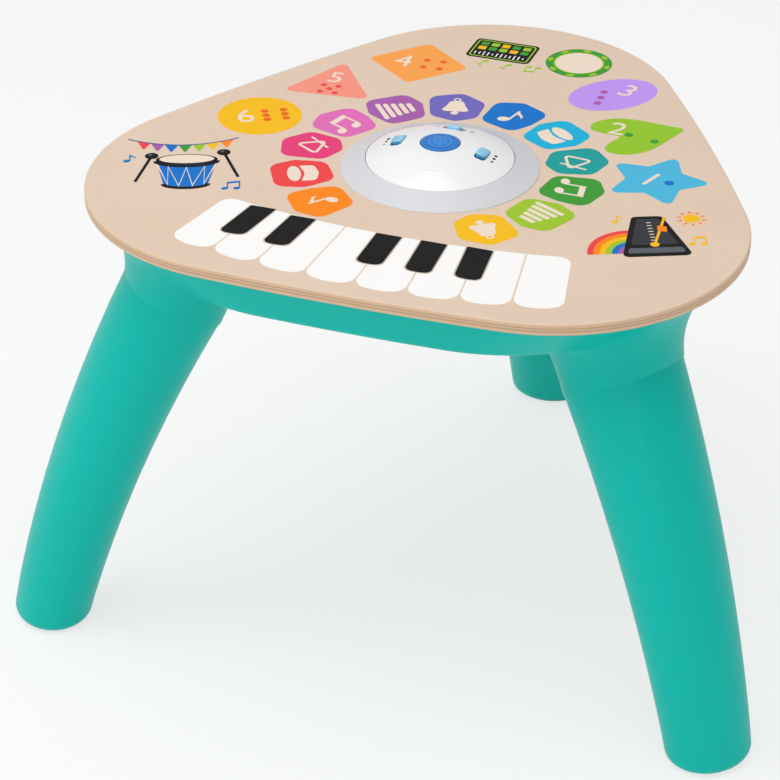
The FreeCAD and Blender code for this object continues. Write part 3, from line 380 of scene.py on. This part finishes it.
# The crosses are thin dark slabs of painted shade, where the recess would lie in shadow.
painted_recess_shade = moulded("painted_recess_shade", srgb(40, 40, 44), srgb(56, 56, 60), 0.5, Metallic=1.0).material
for name, azimuth in (("left_crosses", 4), ("right_crosses", 56)):
    around = math.radians(azimuth)
    crosses = cross_recess(name, AXIS.x + SCREW_CIRCLE * math.cos(around),
                           AXIS.y + SCREW_CIRCLE * math.sin(around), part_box("deck_screws")[0].z)
    repeat(crosses, 3, 120, (AXIS.x, AXIS.y, 0), painted_recess_shade)
    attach(crosses, "table")
door_screw_low, door_screw_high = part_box("battery_door_screw")
door_cross = cross_recess("door_cross", door_screw_low.x / 2 + door_screw_high.x / 2,
                          door_screw_low.y / 2 + door_screw_high.y / 2, door_screw_low.z)
door_cross.data.materials.append(painted_recess_shade)
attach(door_cross, "door")

# Everything on the deck's face is screen printed in flat, opaque inks, a thin layer each.
# Motifs are drawn in millimetres round their own middle, then turned and laid on the deck.
# An upper layer of ink stands on the one below it, as it does where prints overlap.
MILLIMETRE = 0.001
DOME_CROWN = 0.115
DOME_RISE = 0.0192
DOME_CENTRE = DECK_TOP + DOME_RISE - DOME_CROWN
LAYER = 0.00007
INK_COLOURS = {
    "white": (253, 252, 250), "black": (14, 13, 16), "key_gap": (206, 192, 180),
    "cream": (243, 224, 206), "orange": (255, 138, 18), "red": (243, 70, 72),
    "magenta": (232, 62, 122), "pink": (228, 112, 186), "purple": (168, 96, 174),
    "indigo": (116, 106, 190), "blue": (6, 116, 205), "cyan": (12, 180, 220),
    "sea_green": (22, 160, 158), "green": (62, 156, 52), "lime": (160, 200, 46),
    "yellow": (250, 192, 16), "salmon": (250, 152, 132), "apricot": (255, 166, 78),
    "lilac": (196, 152, 244), "leaf": (150, 200, 42), "sky": (76, 186, 225),
    "grey": (92, 96, 104), "deep_orange": (238, 106, 24), "dark_grey": (52, 54, 60),
    "deep_blue": (10, 82, 160), "gloss_white": (247, 247, 248)}
inks = {}


def ink(name):
    """The named ink: flat colour, with the fine unevenness that a screen leaves."""
    if name not in inks:
        colour = srgb(*INK_COLOURS[name])
        print_ink = Finish("ink_" + name, colour, Specular_IOR_Level=0.1)
        cloud = print_ink.noise(60, 3)
        weave = print_ink.noise(3200, 1)
        thin = tuple(0.97 * channel + 0.01 for channel in colour)
        print_ink.feed(print_ink.shader, {"Base Color": print_ink.blend(cloud, colour, thin),
                                          "Roughness": 0.4 + 0.14 * weave})
        print_ink.relief(weave, 0.00001)
        inks[name] = print_ink.material
    return inks[name]


def arc_points(x, y, radius, start=0.0, sweep=360.0, steps=40):
    """Points round a circle, in degrees, without the last one where it closes."""
    count = steps if sweep == 360 else steps + 1
    return [(x + radius * math.cos(math.radians(start + sweep * i / steps)),
             y + radius * math.sin(math.radians(start + sweep * i / steps)))
            for i in range(count)]


def rounded(corners, radius, steps=7):
    """An outline through corners, each eased by an arc of that radius or what its sides allow."""
    outline = []
    for i, corner in enumerate(corners):
        here = Vector(corner[:2])
        ease = corner[2] if len(corner) > 2 else radius
        back = Vector(corners[i - 1][:2]) - here
        ahead = Vector(corners[(i + 1) % len(corners)][:2]) - here
        half = back.angle(ahead) / 2
        cut = min(ease / math.tan(half), 0.49 * back.length, 0.49 * ahead.length)
        bow = cut * math.tan(half)
        middle = here + (back.normalized() + ahead.normalized()).normalized() * math.hypot(cut, bow)
        first = here + back.normalized() * cut - middle
        turn = (here + ahead.normalized() * cut - middle).angle_signed(first)
        for step in range(steps + 1):
            spot = middle + Matrix.Rotation(turn * step / steps, 2) @ first
            outline.append(tuple(spot))
    return outline


class Print:
    """One printed motif: flat shapes in several inks, each a thin closed slab on the deck."""

    def __init__(self, name, x=0.0, y=0.0, turn=0.0):
        """x and y are the motif's middle, in millimetres from the dome's axis."""
        self.name = name
        self.mesh = bmesh.new()
        self.inks = []
        self.lay = (Matrix.Translation(AXIS.xy.to_3d() + Vector((x, y, 0)) * MILLIMETRE)
                    @ Matrix.Rotation(math.radians(turn), 4, "Z")
                    @ Matrix.Diagonal((MILLIMETRE, MILLIMETRE, 1, 1)))

    def slab(self, loops, quads, name, layer):
        """Closes loops of points into a slab: quads bridge two loops, else one loop is filled."""
        if name not in self.inks:
            self.inks.append(name)
        levels = (DECK_TOP, DECK_TOP + LAYER * layer)
        rows = [[[self.mesh.verts.new(self.lay @ Vector((x, y, z))) for x, y in loop]
                 for z in levels] for loop in loops]
        faces = []
        for low, high in rows:
            for i in range(len(low)):
                faces.append((low[i - 1], low[i], high[i], high[i - 1]))
        if quads:
            for level in (0, 1):
                outer, inner = rows[0][level], rows[1][level]
                for i in range(len(outer)):
                    faces.append((outer[i - 1], outer[i], inner[i], inner[i - 1]))
        else:
            faces += [tuple(rows[0][0]), tuple(rows[0][1])]
        for corners in faces:
            self.mesh.faces.new(corners).material_index = self.inks.index(name)

    def shape(self, outline, name, layer=1):
        self.slab([outline], False, name, layer)

    def disc(self, x, y, radius, name, layer=1, flat=1.0, lean=0.0):
        """A round spot, or an oval one where flat is under 1 and lean turns it."""
        lean = Matrix.Rotation(math.radians(lean), 2)
        spots = [lean @ Vector((a, b * flat)) for a, b in arc_points(0, 0, radius)]
        self.shape([(x + spot.x, y + spot.y) for spot in spots], name, layer)

    def band(self, outer, inner, name, layer=1):
        """The space between two loops of as many points."""
        self.slab([outer, inner], True, name, layer)

    def ring(self, x, y, radius, width, name, layer=1):
        self.band(arc_points(x, y, radius), arc_points(x, y, radius - width), name, layer)

    def stroke(self, points, width, name, layer=1, closed=False):
        """A line of even width through points, with mitred corners."""
        spots = [Vector(point) for point in points]
        left, right = [], []
        for i, spot in enumerate(spots):
            before = spot - spots[i - 1] if i or closed else None
            after = spots[(i + 1) % len(spots)] - spot if i < len(spots) - 1 or closed else None
            ways = [way.normalized() for way in (before, after) if way is not None]
            along = sum(ways, Vector((0, 0))).normalized()
            reach = width / 2 / max(0.4, along.dot(ways[0]))
            aside = Vector((-along.y, along.x)) * reach
            left.append(tuple(spot + aside))
            right.append(tuple(spot - aside))
        if closed:
            self.band(left, right, name, layer)
        else:
            self.shape(left + right[::-1], name, layer)

    def figure(self, text, x, y, height, name, layer=2, turn=0.0):
        """A plain number, cut from the typeface's outline."""
        drawing = bpy.data.curves.new(self.name + "_figure", "FONT")
        drawing.body = text
        drawing.size = height * 1.38
        drawing.align_x = "CENTER"
        drawing.align_y = "CENTER"
        drawing.extrude = 0.5
        drawing.resolution_u = 4
        holder = bpy.data.objects.new(drawing.name, drawing)
        cut = bpy.data.meshes.new_from_object(holder)
        bpy.data.objects.remove(holder)
        lift = Matrix.Translation((0, 0, DECK_TOP + LAYER * layer / 2))
        cut.transform(self.lay @ lift @ Matrix.Translation((x, y, 0))
                      @ Matrix.Rotation(math.radians(turn), 4, "Z")
                      @ Matrix.Diagonal((1, 1, LAYER * layer, 1)))
        if name not in self.inks:
            self.inks.append(name)
        known = len(self.mesh.faces)
        self.mesh.from_mesh(cut)
        self.mesh.faces.ensure_lookup_table()
        for side in self.mesh.faces[known:]:
            side.material_index = self.inks.index(name)
        bpy.data.meshes.remove(cut)

    def drape(self):
        """Lays the motif over the dome in place of the deck's face."""
        for corner in self.mesh.verts:
            crown = DOME_CROWN + corner.co.z - DECK_TOP
            aside = (corner.co.xy - AXIS.xy).length
            corner.co.z = DOME_CENTRE + math.sqrt(crown ** 2 - aside ** 2)

    def finish(self, count=1, step=0.0):
        """Makes the piece, or count copies of it turned about the motif's middle."""
        bmesh.ops.remove_doubles(self.mesh, verts=self.mesh.verts, dist=1e-7)
        bmesh.ops.recalc_face_normals(self.mesh, faces=self.mesh.faces)
        mesh = bpy.data.meshes.new(self.name)
        self.mesh.to_mesh(mesh)
        self.mesh.free()
        for name in self.inks:
            mesh.materials.append(ink(name))
        piece = bpy.data.objects.new(self.name, mesh)
        bpy.context.scene.collection.objects.link(piece)
        if count > 1:
            centre = (*self.lay.translation.xy, 0)
            repeat(piece, count, step, centre, ink(self.inks[0]))
        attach(piece, "table")


# The keyboard is one printed octave: eight white keys that fan out towards the player.
# Five black keys overlie them, each with a thin gap line, in groups of two and three.
# Pads of the sensing film lie under the keys, so nothing on it moves.
KEY_COUNT = 8
KEY_MIDDLE = 1.2
KEY_PITCH_FRONT = 34.6
KEY_PITCH_BACK = 30.8
KEY_GAP = 1.1
KEY_FRONT = -172.3
KEY_BACK = -103.2
KEY_BOW_MIDDLE = 8.4
BLACK_KEYS_AFTER = (1, 2, 4, 5, 6)
BLACK_WIDTH = 17.5
BLACK_LENGTH = 40.0


def key_front(x):
    """How far forward a white key reaches: the row bows out in the middle."""
    return KEY_FRONT + 0.001 * (x - KEY_BOW_MIDDLE) ** 2


def key_back(x):
    return KEY_BACK + 0.00083 * (x - KEY_BOW_MIDDLE) ** 2


def key_line(number, y):
    """The line between two white keys, counted from the left end of the row."""
    share = (y - KEY_BACK) / (KEY_FRONT - KEY_BACK)
    pitch = KEY_PITCH_BACK + (KEY_PITCH_FRONT - KEY_PITCH_BACK) * share
    return KEY_MIDDLE + (number - KEY_COUNT / 2) * pitch


keys = Print("white_keys")
for number in range(KEY_COUNT):
    left, right = (number, KEY_GAP / 2), (number + 1, -KEY_GAP / 2)
    corners = []
    for (line, aside), edge, ease in (
            (left, key_back, 9 if number == 0 else 0.6), (left, key_front, 12),
            (right, key_front, 12), (right, key_back, 9 if number == KEY_COUNT - 1 else 0.6)):
        y = edge(key_line(line, KEY_FRONT if edge is key_front else KEY_BACK))
        corners.append((key_line(line, y) + aside, y, ease))
    middle = key_line(number + 0.5, KEY_FRONT)
    corners.insert(2, (middle, key_front(middle) - 3.2, 60))
    keys.shape(rounded(corners, 1), "white")
keys.finish()

black = Print("black_keys")
for number in BLACK_KEYS_AFTER:
    top = key_back(key_line(number, KEY_BACK))
    foot = top - BLACK_LENGTH
    for grow, name, layer in ((1.0, "key_gap", 2), (0.0, "black", 3)):
        half = BLACK_WIDTH / 2 + grow
        head_x, foot_x = key_line(number, top), key_line(number, foot)
        black.shape(rounded([
            (head_x - half, top), (foot_x - half, foot - grow, 8), (foot_x, foot - grow - 1.5, 30),
            (foot_x + half, foot - grow, 8), (head_x + half, top)], 0.4), name, layer)
black.finish()

# Twelve rounded patches stand round the dome, one to a note, with a gap before the keyboard.
# They come in three outlines and twelve colours, and each bears a plain musical sign in cream.
# The signs repeat, turned to face outwards, as a child walks round the table.
PATCH_CIRCLE = 93.2
PATCH_FIRST = 231.6
PATCH_STEP = -25.85
PATCH_COLOURS = ("orange", "red", "magenta", "pink", "purple", "indigo", "blue", "cyan",
                 "sea_green", "green", "lime", "yellow")
PATCH_CORNER = 9
SIGN_SCALE = 1.35
STEP_UP = 0.25
PATCH_OUTLINES = (
    [(-16, -17), (12, -21), (18.5, -4), (20.5, 16), (-4, 22.5), (-21, 13)],
    [(-11, -21.5), (15.5, -17.5), (20.5, 4), (14, 21.5), (-17, 20), (-20.5, 0)],
    [(-16.5, -15), (2, -22.5), (16.5, -15), (20.5, 8), (3, 22.5), (-20.5, 15)])


def single_note(motif, x, y, scale, name, layer=2):
    motif.disc(x - 2.2 * scale, y - 5 * scale, 3.2 * scale, name, layer, 0.78, 25)
    motif.stroke([(x + 0.4 * scale, y - 4.6 * scale), (x + 0.4 * scale, y + 7 * scale)],
                 1.3 * scale, name, layer + STEP_UP)
    motif.shape([(x - 0.2 * scale, y + 7 * scale), (x + 5.2 * scale, y + 2.2 * scale),
                 (x + 5.4 * scale, y - 0.6 * scale), (x + 4 * scale, y + 1.6 * scale),
                 (x + 0.6 * scale, y + 3.6 * scale)], name, layer + 2 * STEP_UP)


def double_note(motif, x, y, scale, name, layer=2):
    for side in (-1, 1):
        foot = x + 5 * side * scale
        motif.disc(foot - 2.4 * scale, y - 5.5 * scale, 3 * scale, name, layer, 0.78, 25)
        motif.stroke([(foot, y - 5 * scale), (foot, y + (5.4 + 0.8 * side) * scale)],
                     1.2 * scale, name, layer + STEP_UP)
    motif.shape([(x - 5.6 * scale, y + 6 * scale), (x - 5.6 * scale, y + 2.8 * scale),
                 (x + 5.6 * scale, y + 4.6 * scale), (x + 5.6 * scale, y + 7.8 * scale)],
                name, layer + 2 * STEP_UP)


def struck_triangle(motif, x, y, scale, name, layer=2):
    corners = [(x + 8.4 * scale * math.cos(math.radians(a)), y - 1 + 8.4 * scale
                * math.sin(math.radians(a))) for a in (90, 210, 330)]
    motif.stroke(rounded(corners, 2), 1.5 * scale, name, layer, closed=True)
    motif.stroke([(x + 1, y - 8.6 * scale), (x + 9.5 * scale, y + 3.5 * scale)], 1.2 * scale,
                 name, layer + STEP_UP)


def side_drum(motif, x, y, scale, name, layer=2):
    motif.disc(x, y + 4.2 * scale, 8.2 * scale, name, layer, 0.42)
    motif.shape(rounded([(x - 8.2 * scale, y + 1 * scale), (x - 8.2 * scale, y - 6.4 * scale, 4),
                         (x, y - 8.4 * scale, 12), (x + 8.2 * scale, y - 6.4 * scale, 4),
                         (x + 8.2 * scale, y + 1 * scale), (x, y - 1.4 * scale, 12)], 0.4),
                name, layer)


def hand_bell(motif, x, y, scale, name, layer=2):
    motif.shape(rounded([(x - 8 * scale, y - 5 * scale), (x + 8 * scale, y - 5 * scale),
                         (x + 5 * scale, y + 1 * scale), (x + 3.4 * scale, y + 7 * scale),
                         (x - 3.4 * scale, y + 7 * scale), (x - 5 * scale, y + 1 * scale)],
                        2 * scale), name, layer)
    motif.disc(x, y - 7 * scale, 2 * scale, name, layer + STEP_UP)
    motif.ring(x, y + 8.6 * scale, 2 * scale, 0.9 * scale, name, layer + STEP_UP)


def chime_bars(motif, x, y, scale, name, layer=2):
    for i in range(5):
        long = (9.4 - 1.1 * i) * scale
        spot = x + (i - 2) * 3.9 * scale
        motif.shape(rounded([(spot - 1.3 * scale, y - long), (spot + 1.3 * scale, y - long),
                             (spot + 1.3 * scale, y + long), (spot - 1.3 * scale, y + long)],
                            1.2 * scale), name, layer)


SIGNS = (single_note, side_drum, struck_triangle, double_note, chime_bars, hand_bell)
for i, colour in enumerate(PATCH_COLOURS):
    azimuth = PATCH_FIRST + PATCH_STEP * i
    patch = Print("patch_" + colour, PATCH_CIRCLE * math.cos(math.radians(azimuth)),
                  PATCH_CIRCLE * math.sin(math.radians(azimuth)), azimuth - 90)
    patch.shape(rounded(PATCH_OUTLINES[i % 3], PATCH_CORNER), colour)
    SIGNS[i % len(SIGNS)](patch, 0, 0, SIGN_SCALE, "cream")
    patch.finish()

# Six large plain figures fill the outer part of the deck, one for each number from 1 to 6.
# Each has its number in a pale ink and as many pale dots as the number says.
# They're a circle, a triangle, a diamond, an oval, a heart and a star, with eased corners.


def count_dots(motif, number, x, y, spread, name, layer=2):
    """As many dots as the number, as on a die, about x and y."""
    places = {1: [(0, 0)], 2: [(-1, -1), (1, 1)], 3: [(-1, -1), (0, 0), (1, 1)],
              4: [(-1, -1), (-1, 1), (1, -1), (1, 1)],
              5: [(-1, -1), (-1, 1), (1, -1), (1, 1), (0, 0)],
              6: [(-1, -1), (-1, 0), (-1, 1), (1, -1), (1, 0), (1, 1)]}
    for right, up in places[number]:
        motif.disc(x + right * spread, y + up * spread, spread * 0.42, name, layer)


circle = Print("figure_circle", -144, 31.4, 30)
circle.disc(0, 0, 29.5, "yellow")
circle.figure("6", -10, 0, 20, "cream")
count_dots(circle, 6, 11, 0, 6.6, "deep_orange")
circle.finish()

triangle = Print("figure_triangle", -115, 97, 6)
triangle.shape(rounded([(-32, -18.5), (32, -18.5), (0, 37)], 4), "salmon")
triangle.figure("5", 0, 10, 17, "cream")
count_dots(triangle, 5, 0, -8.5, 5.4, "red")
triangle.finish()

diamond = Print("figure_diamond", -69, 151, 5)
diamond.shape(rounded([(-37, 0), (0, -34), (37, 0), (0, 34)], 5), "apricot")
diamond.figure("4", -11, 0, 19, "cream")
count_dots(diamond, 4, 11, 0, 6, "deep_orange")
diamond.finish()

oval = Print("figure_oval", 78, 148, 47)
oval.disc(0, 0, 34, "lilac", 1, 0.68)
oval.figure("3", 12, 0, 19, "cream", turn=-60)
count_dots(oval, 3, -10, 0, 6.6, "purple")
oval.finish()

heart = Print("figure_heart", 106, 89, -56.4)
bends = [math.radians(6 * i) for i in range(60)]
heart.shape([(17 * math.sin(a) ** 3 + 11 * math.sin(a),
              4 - 27.5 * math.cos(a) + 11 * math.cos(2 * a)
              + 4.4 * math.cos(3 * a) + 2.2 * math.cos(4 * a)) for a in bends], "leaf")
heart.figure("2", -11, -4, 19, "cream", turn=56)
count_dots(heart, 2, 6, 8, 7, "green")
heart.finish()

star = Print("figure_star", 142.5, 31, 11.5)
tips = [(radius * math.cos(math.radians(36 * i)), radius * math.sin(math.radians(36 * i)))
        for i, radius in enumerate([38, 20.5] * 5)]
star.shape(rounded(tips, 4), "sky")
star.figure("1", -4, 0, 20, "cream", turn=-30)
count_dots(star, 1, 9, -3, 8, "blue")
star.finish()

# In the left corner a blue hand drum with two mallets stands under a row of coloured flags.
# It is drawn upright to a child at the keyboard, and two blue notes fly off it.
drum = Print("drum_motif", -166, -54, 22)
cord = [(-38 + 76 * i / 24, 27 + 10 * (i / 12 - 1) ** 2) for i in range(25)]
drum.stroke(cord, 1.1, "deep_blue", 2)
for i, name in enumerate(("red", "purple", "blue", "green", "lime", "yellow", "orange")):
    (left, left_y), (right, right_y) = cord[3 * i + 2], cord[3 * i + 5]
    drum.shape(rounded([(left, left_y), (right, right_y),
                        ((left + right) / 2, (left_y + right_y) / 2 - 12)], 0.8), name)
DRUM_TOP, DRUM_FOOT = 5.0, -31.0
drum.disc(3, DRUM_TOP, 21, "black", 2, 0.38)
drum.disc(3, DRUM_TOP + 0.6, 18.6, "cream", 3, 0.34)
rim = [(3 + 21 * math.cos(a), DRUM_TOP + 8 * math.sin(a)) for a in
       (math.pi + math.pi * i / 20 for i in range(21))]
foot = [(3 + 15 * math.cos(a), DRUM_FOOT + 6 * math.sin(a)) for a in
        (math.pi + math.pi * i / 20 for i in range(21))]
drum.shape(rim + foot[::-1], "blue", 1)
drum.stroke([(x, y - 2) for x, y in rim], 3.4, "black", 2)
drum.stroke(foot, 3.4, "black", 2)
lacing = []
for i in range(1, 10):
    x, y = rim[2 * i] if i % 2 else foot[2 * i]
    lacing.append((x, y - 4 if i % 2 else y + 3))
drum.stroke(lacing, 1.2, "cream", 2)
for grip, head in (((-31, -27), (-21, 11)), ((38, -22), (28, 15))):
    drum.stroke([grip, head], 2.2, "black", 1)
    drum.disc(*head, 4.6, "black", 2)
    drum.disc(head[0] - 1, head[1] + 1.2, 1.3, "grey", 3)
single_note(drum, -36, 8, 0.8, "blue", 1)
double_note(drum, 35, -34, 0.8, "blue", 1)
drum.finish()

# At the rear a green tambourine and a black pad with lime keys face a child on that side.
# The tambourine's jingles stand at even steps round its rim.
tambourine = Print("tambourine_motif", 8, 190, 180)
tambourine.disc(-32, 0, 24, "green")
tambourine.disc(-32, 0, 18.4, "cream", 2)
tambourine.ring(-32, 0, 18.4, 1.2, "leaf", 3)
tambourine.shape(rounded([(2, -17), (50, -17), (50, 15), (2, 15)], 4), "black")
tambourine.stroke(rounded([(4.4, -14.6), (47.6, -14.6), (47.6, 12.6), (4.4, 12.6)], 2.6), 1.1,
                  "lime", 2, closed=True)
for row, y in enumerate((-9.2, -1.8)):
    for column in range(5):
        x = 10 + column * 8
        name = ("lime", "green", "yellow")[(row + column) % 3]
        tambourine.shape(rounded([(x - 3, y - 2.8), (x + 3, y - 2.8), (x + 3, y + 2.8),
                                  (x - 3, y + 2.8)], 1), name, 2)
for column in range(12):
    x = 8.2 + column * 3.3
    tall = 1.2 + 2.2 * abs(math.sin(0.9 * column))
    tambourine.stroke([(x, 7.4 - tall), (x, 7.4 + tall)], 0.9, "white", 2)
double_note(tambourine, -2, 22, 0.7, "lime", 1)
single_note(tambourine, 16, 24, 0.7, "lime", 1)
single_note(tambourine, 34, 23, 0.7, "lime", 1)
tambourine.finish()
jingles = Print("tambourine_jingles", 40, 190, 180)
jingles.disc(0, 21.2, 3.2, "lime", 2, 0.56)
jingles.finish(8, 45)

# In the right corner a grey metronome stands before a rainbow, with a small sun above.
# Its yellow arm leans over a scale of short cream lines, and the sun's rays are all alike.
metronome = Print("metronome_motif", 158, -48, 24)
metronome.shape(rounded([(-6, 27), (14, 27), (27, -27), (-19, -27)], 4), "black", 4)
metronome.shape(rounded([(-3, 23.4), (11, 23.4), (19.6, -12), (-11.6, -12)], 2.4),
                "dark_grey", 5)
metronome.shape(rounded([(-13.4, -16), (21.4, -16), (23, -23), (-15, -23)], 2), "grey", 5)
for step in range(7):
    metronome.stroke([(2.4, 18 - 4 * step), (5.6, 18 - 4 * step)], 0.9, "cream", 6)
metronome.stroke([(4, -12), (15.5, 25)], 1.8, "yellow", 7)
metronome.shape(rounded([(9, 13.5), (15, 11.6), (14.4, 4.4), (8.4, 6.2)], 1), "orange", 8)
metronome.disc(4, -12, 3, "yellow", 8)
for step, name in enumerate(("red", "orange", "yellow", "lime", "blue", "purple")):
    outer = 31 - 4 * step
    metronome.shape(arc_points(-10, -22, outer, 90, 90, 20)
                    + arc_points(-10, -22, outer - 4, 90, 90, 20)[::-1], name, 1 + step % 2)
single_note(metronome, -16, 25, 0.75, "yellow", 1)
double_note(metronome, 34, -8, 0.8, "yellow", 1)
metronome.finish()
sun = Print("sun_motif", 179, -14, 24)
sun.disc(0, 0, 5.6, "yellow")
sun.finish()
rays = Print("sun_rays", 179, -14, 24)
rays.shape([(-1.3, 7), (1.3, 7), (0, 11)], "orange")
rays.finish(10, 36)

# Small black marks on the dome show what each slide knob does, by dots, bars and signs.
# In front of them three faint curved ridges are raised in the cover's own white.
marks = Print("dome_marks")
for y, radius in ((-4.4, 0.7), (0, 1.05), (4.4, 1.4)):
    marks.disc(-38.6, y, radius, "black")
marks.disc(38.2, 4.2, 1.1, "black")
marks.shape(rounded([(37.2, -1), (39.2, -1), (39.2, 1), (37.2, 1)], 0.3), "black")
marks.shape([(37, -5.2), (39.4, -5.2), (38.2, -3)], "black")
marks.stroke([(-13.4, 29.2), (-11.4, 29.8)], 0.7, "black")
marks.stroke([(11.4, 29.8), (13.7, 29.1)], 0.7, "black")
marks.stroke([(12.2, 28.3), (12.9, 30.6)], 0.7, "black", 2)
marks.drape()
marks.finish()
ridges = Print("dome_ridges")
for radius, start, sweep in ((23, 232, 50), (28, 222, 62), (33, 224, 66)):
    ridges.stroke(arc_points(0, 0, radius, start, sweep, 18), 1.5, "gloss_white", 3)
ridges.drape()
ridges.finish()

# The floor is a plain white sweep, lit by three large soft boxes and a pale room.
# It is white to the camera and keeps the table's own soft shadow.
# The camera has a long lens, as a catalogue picture does, and looks down at the deck.
FLOOR_LIFT = 0.68
FLOOR_HALF = 9
floor_mesh = bpy.data.meshes.new("floor")
floor_mesh.from_pydata([(-FLOOR_HALF, -FLOOR_HALF, 0), (FLOOR_HALF, -FLOOR_HALF, 0),
                        (FLOOR_HALF, FLOOR_HALF, 0), (-FLOOR_HALF, FLOOR_HALF, 0)],
                       [], [(0, 1, 2, 3)])
floor = bpy.data.objects.new("floor", floor_mesh)
bpy.context.scene.collection.objects.link(floor)
sweep = Finish("white_floor", srgb(250, 250, 250), Roughness=0.8, Specular_IOR_Level=0.1)
sweep.feed(sweep.shader, {"Base Color": sweep.blend(sweep.noise(2), srgb(249, 249, 249),
                                                    srgb(252, 252, 252))})
glow = sweep.add("Emission", {}, {"Color": (1.0, 1.0, 1.0), "Strength": 1.0})
seen = sweep.add("LightPath", {}, {})
lift = FLOOR_LIFT * (seen["Is Camera Ray"] + seen["Is Glossy Ray"])
mixed = sweep.add("MixShader", {}, {0: lift, 1: Value(sweep, sweep.shader.outputs[0]), 2: glow})
sweep.feed(sweep.nodes["Material Output"], {"Surface": mixed})
floor_mesh.materials.append(sweep.material)


def soft_box(name, place, aim, size, watts):
    """A square lamp that faces the point aim."""
    lamp = bpy.data.lights.new(name, "AREA")
    lamp.energy = watts
    lamp.shape = "SQUARE"
    lamp.size = size
    holder = bpy.data.objects.new(name, lamp)
    bpy.context.scene.collection.objects.link(holder)
    holder.location = place
    holder.rotation_euler = (Vector(place) - Vector(aim)).to_track_quat("Z", "Y").to_euler()


soft_box("overhead_box", (-0.3, -0.4, 2.4), (0, 0, 0.2), 2.2, 28)
soft_box("left_box", (-2.3, -1.3, 1.5), (0, 0, 0.2), 1.6, 12)
soft_box("front_box", (1.3, -2.5, 1.3), (0, 0, 0.2), 1.6, 9)
room = bpy.data.worlds.new("pale_room")
room.use_nodes = True
bpy.context.scene.world = room
sky = room.node_tree.nodes["Background"]
sky.inputs["Color"].default_value = (1, 1, 1, 1)
sky.inputs["Strength"].default_value = 0.45

AZIMUTH, ELEVATION = 20.0, 31.1
TARGET = Vector((-0.0268, -0.0847, 0.1638))
DISTANCE = 2.1312
FOCAL_PIXELS = 3046
IMAGE_PIXELS = 780
lens = bpy.data.cameras.new("camera")
lens.sensor_width = 36
lens.lens = lens.sensor_width * FOCAL_PIXELS / IMAGE_PIXELS
camera = bpy.data.objects.new("camera", lens)
bpy.context.scene.collection.objects.link(camera)
tilt = Euler((math.radians(90 - ELEVATION), 0, math.radians(AZIMUTH)))
camera.rotation_euler = tilt
camera.location = TARGET + tilt.to_matrix() @ Vector((0, 0, DISTANCE))
bpy.context.scene.camera = camera
bpy.context.scene.view_settings.view_transform = "Standard"
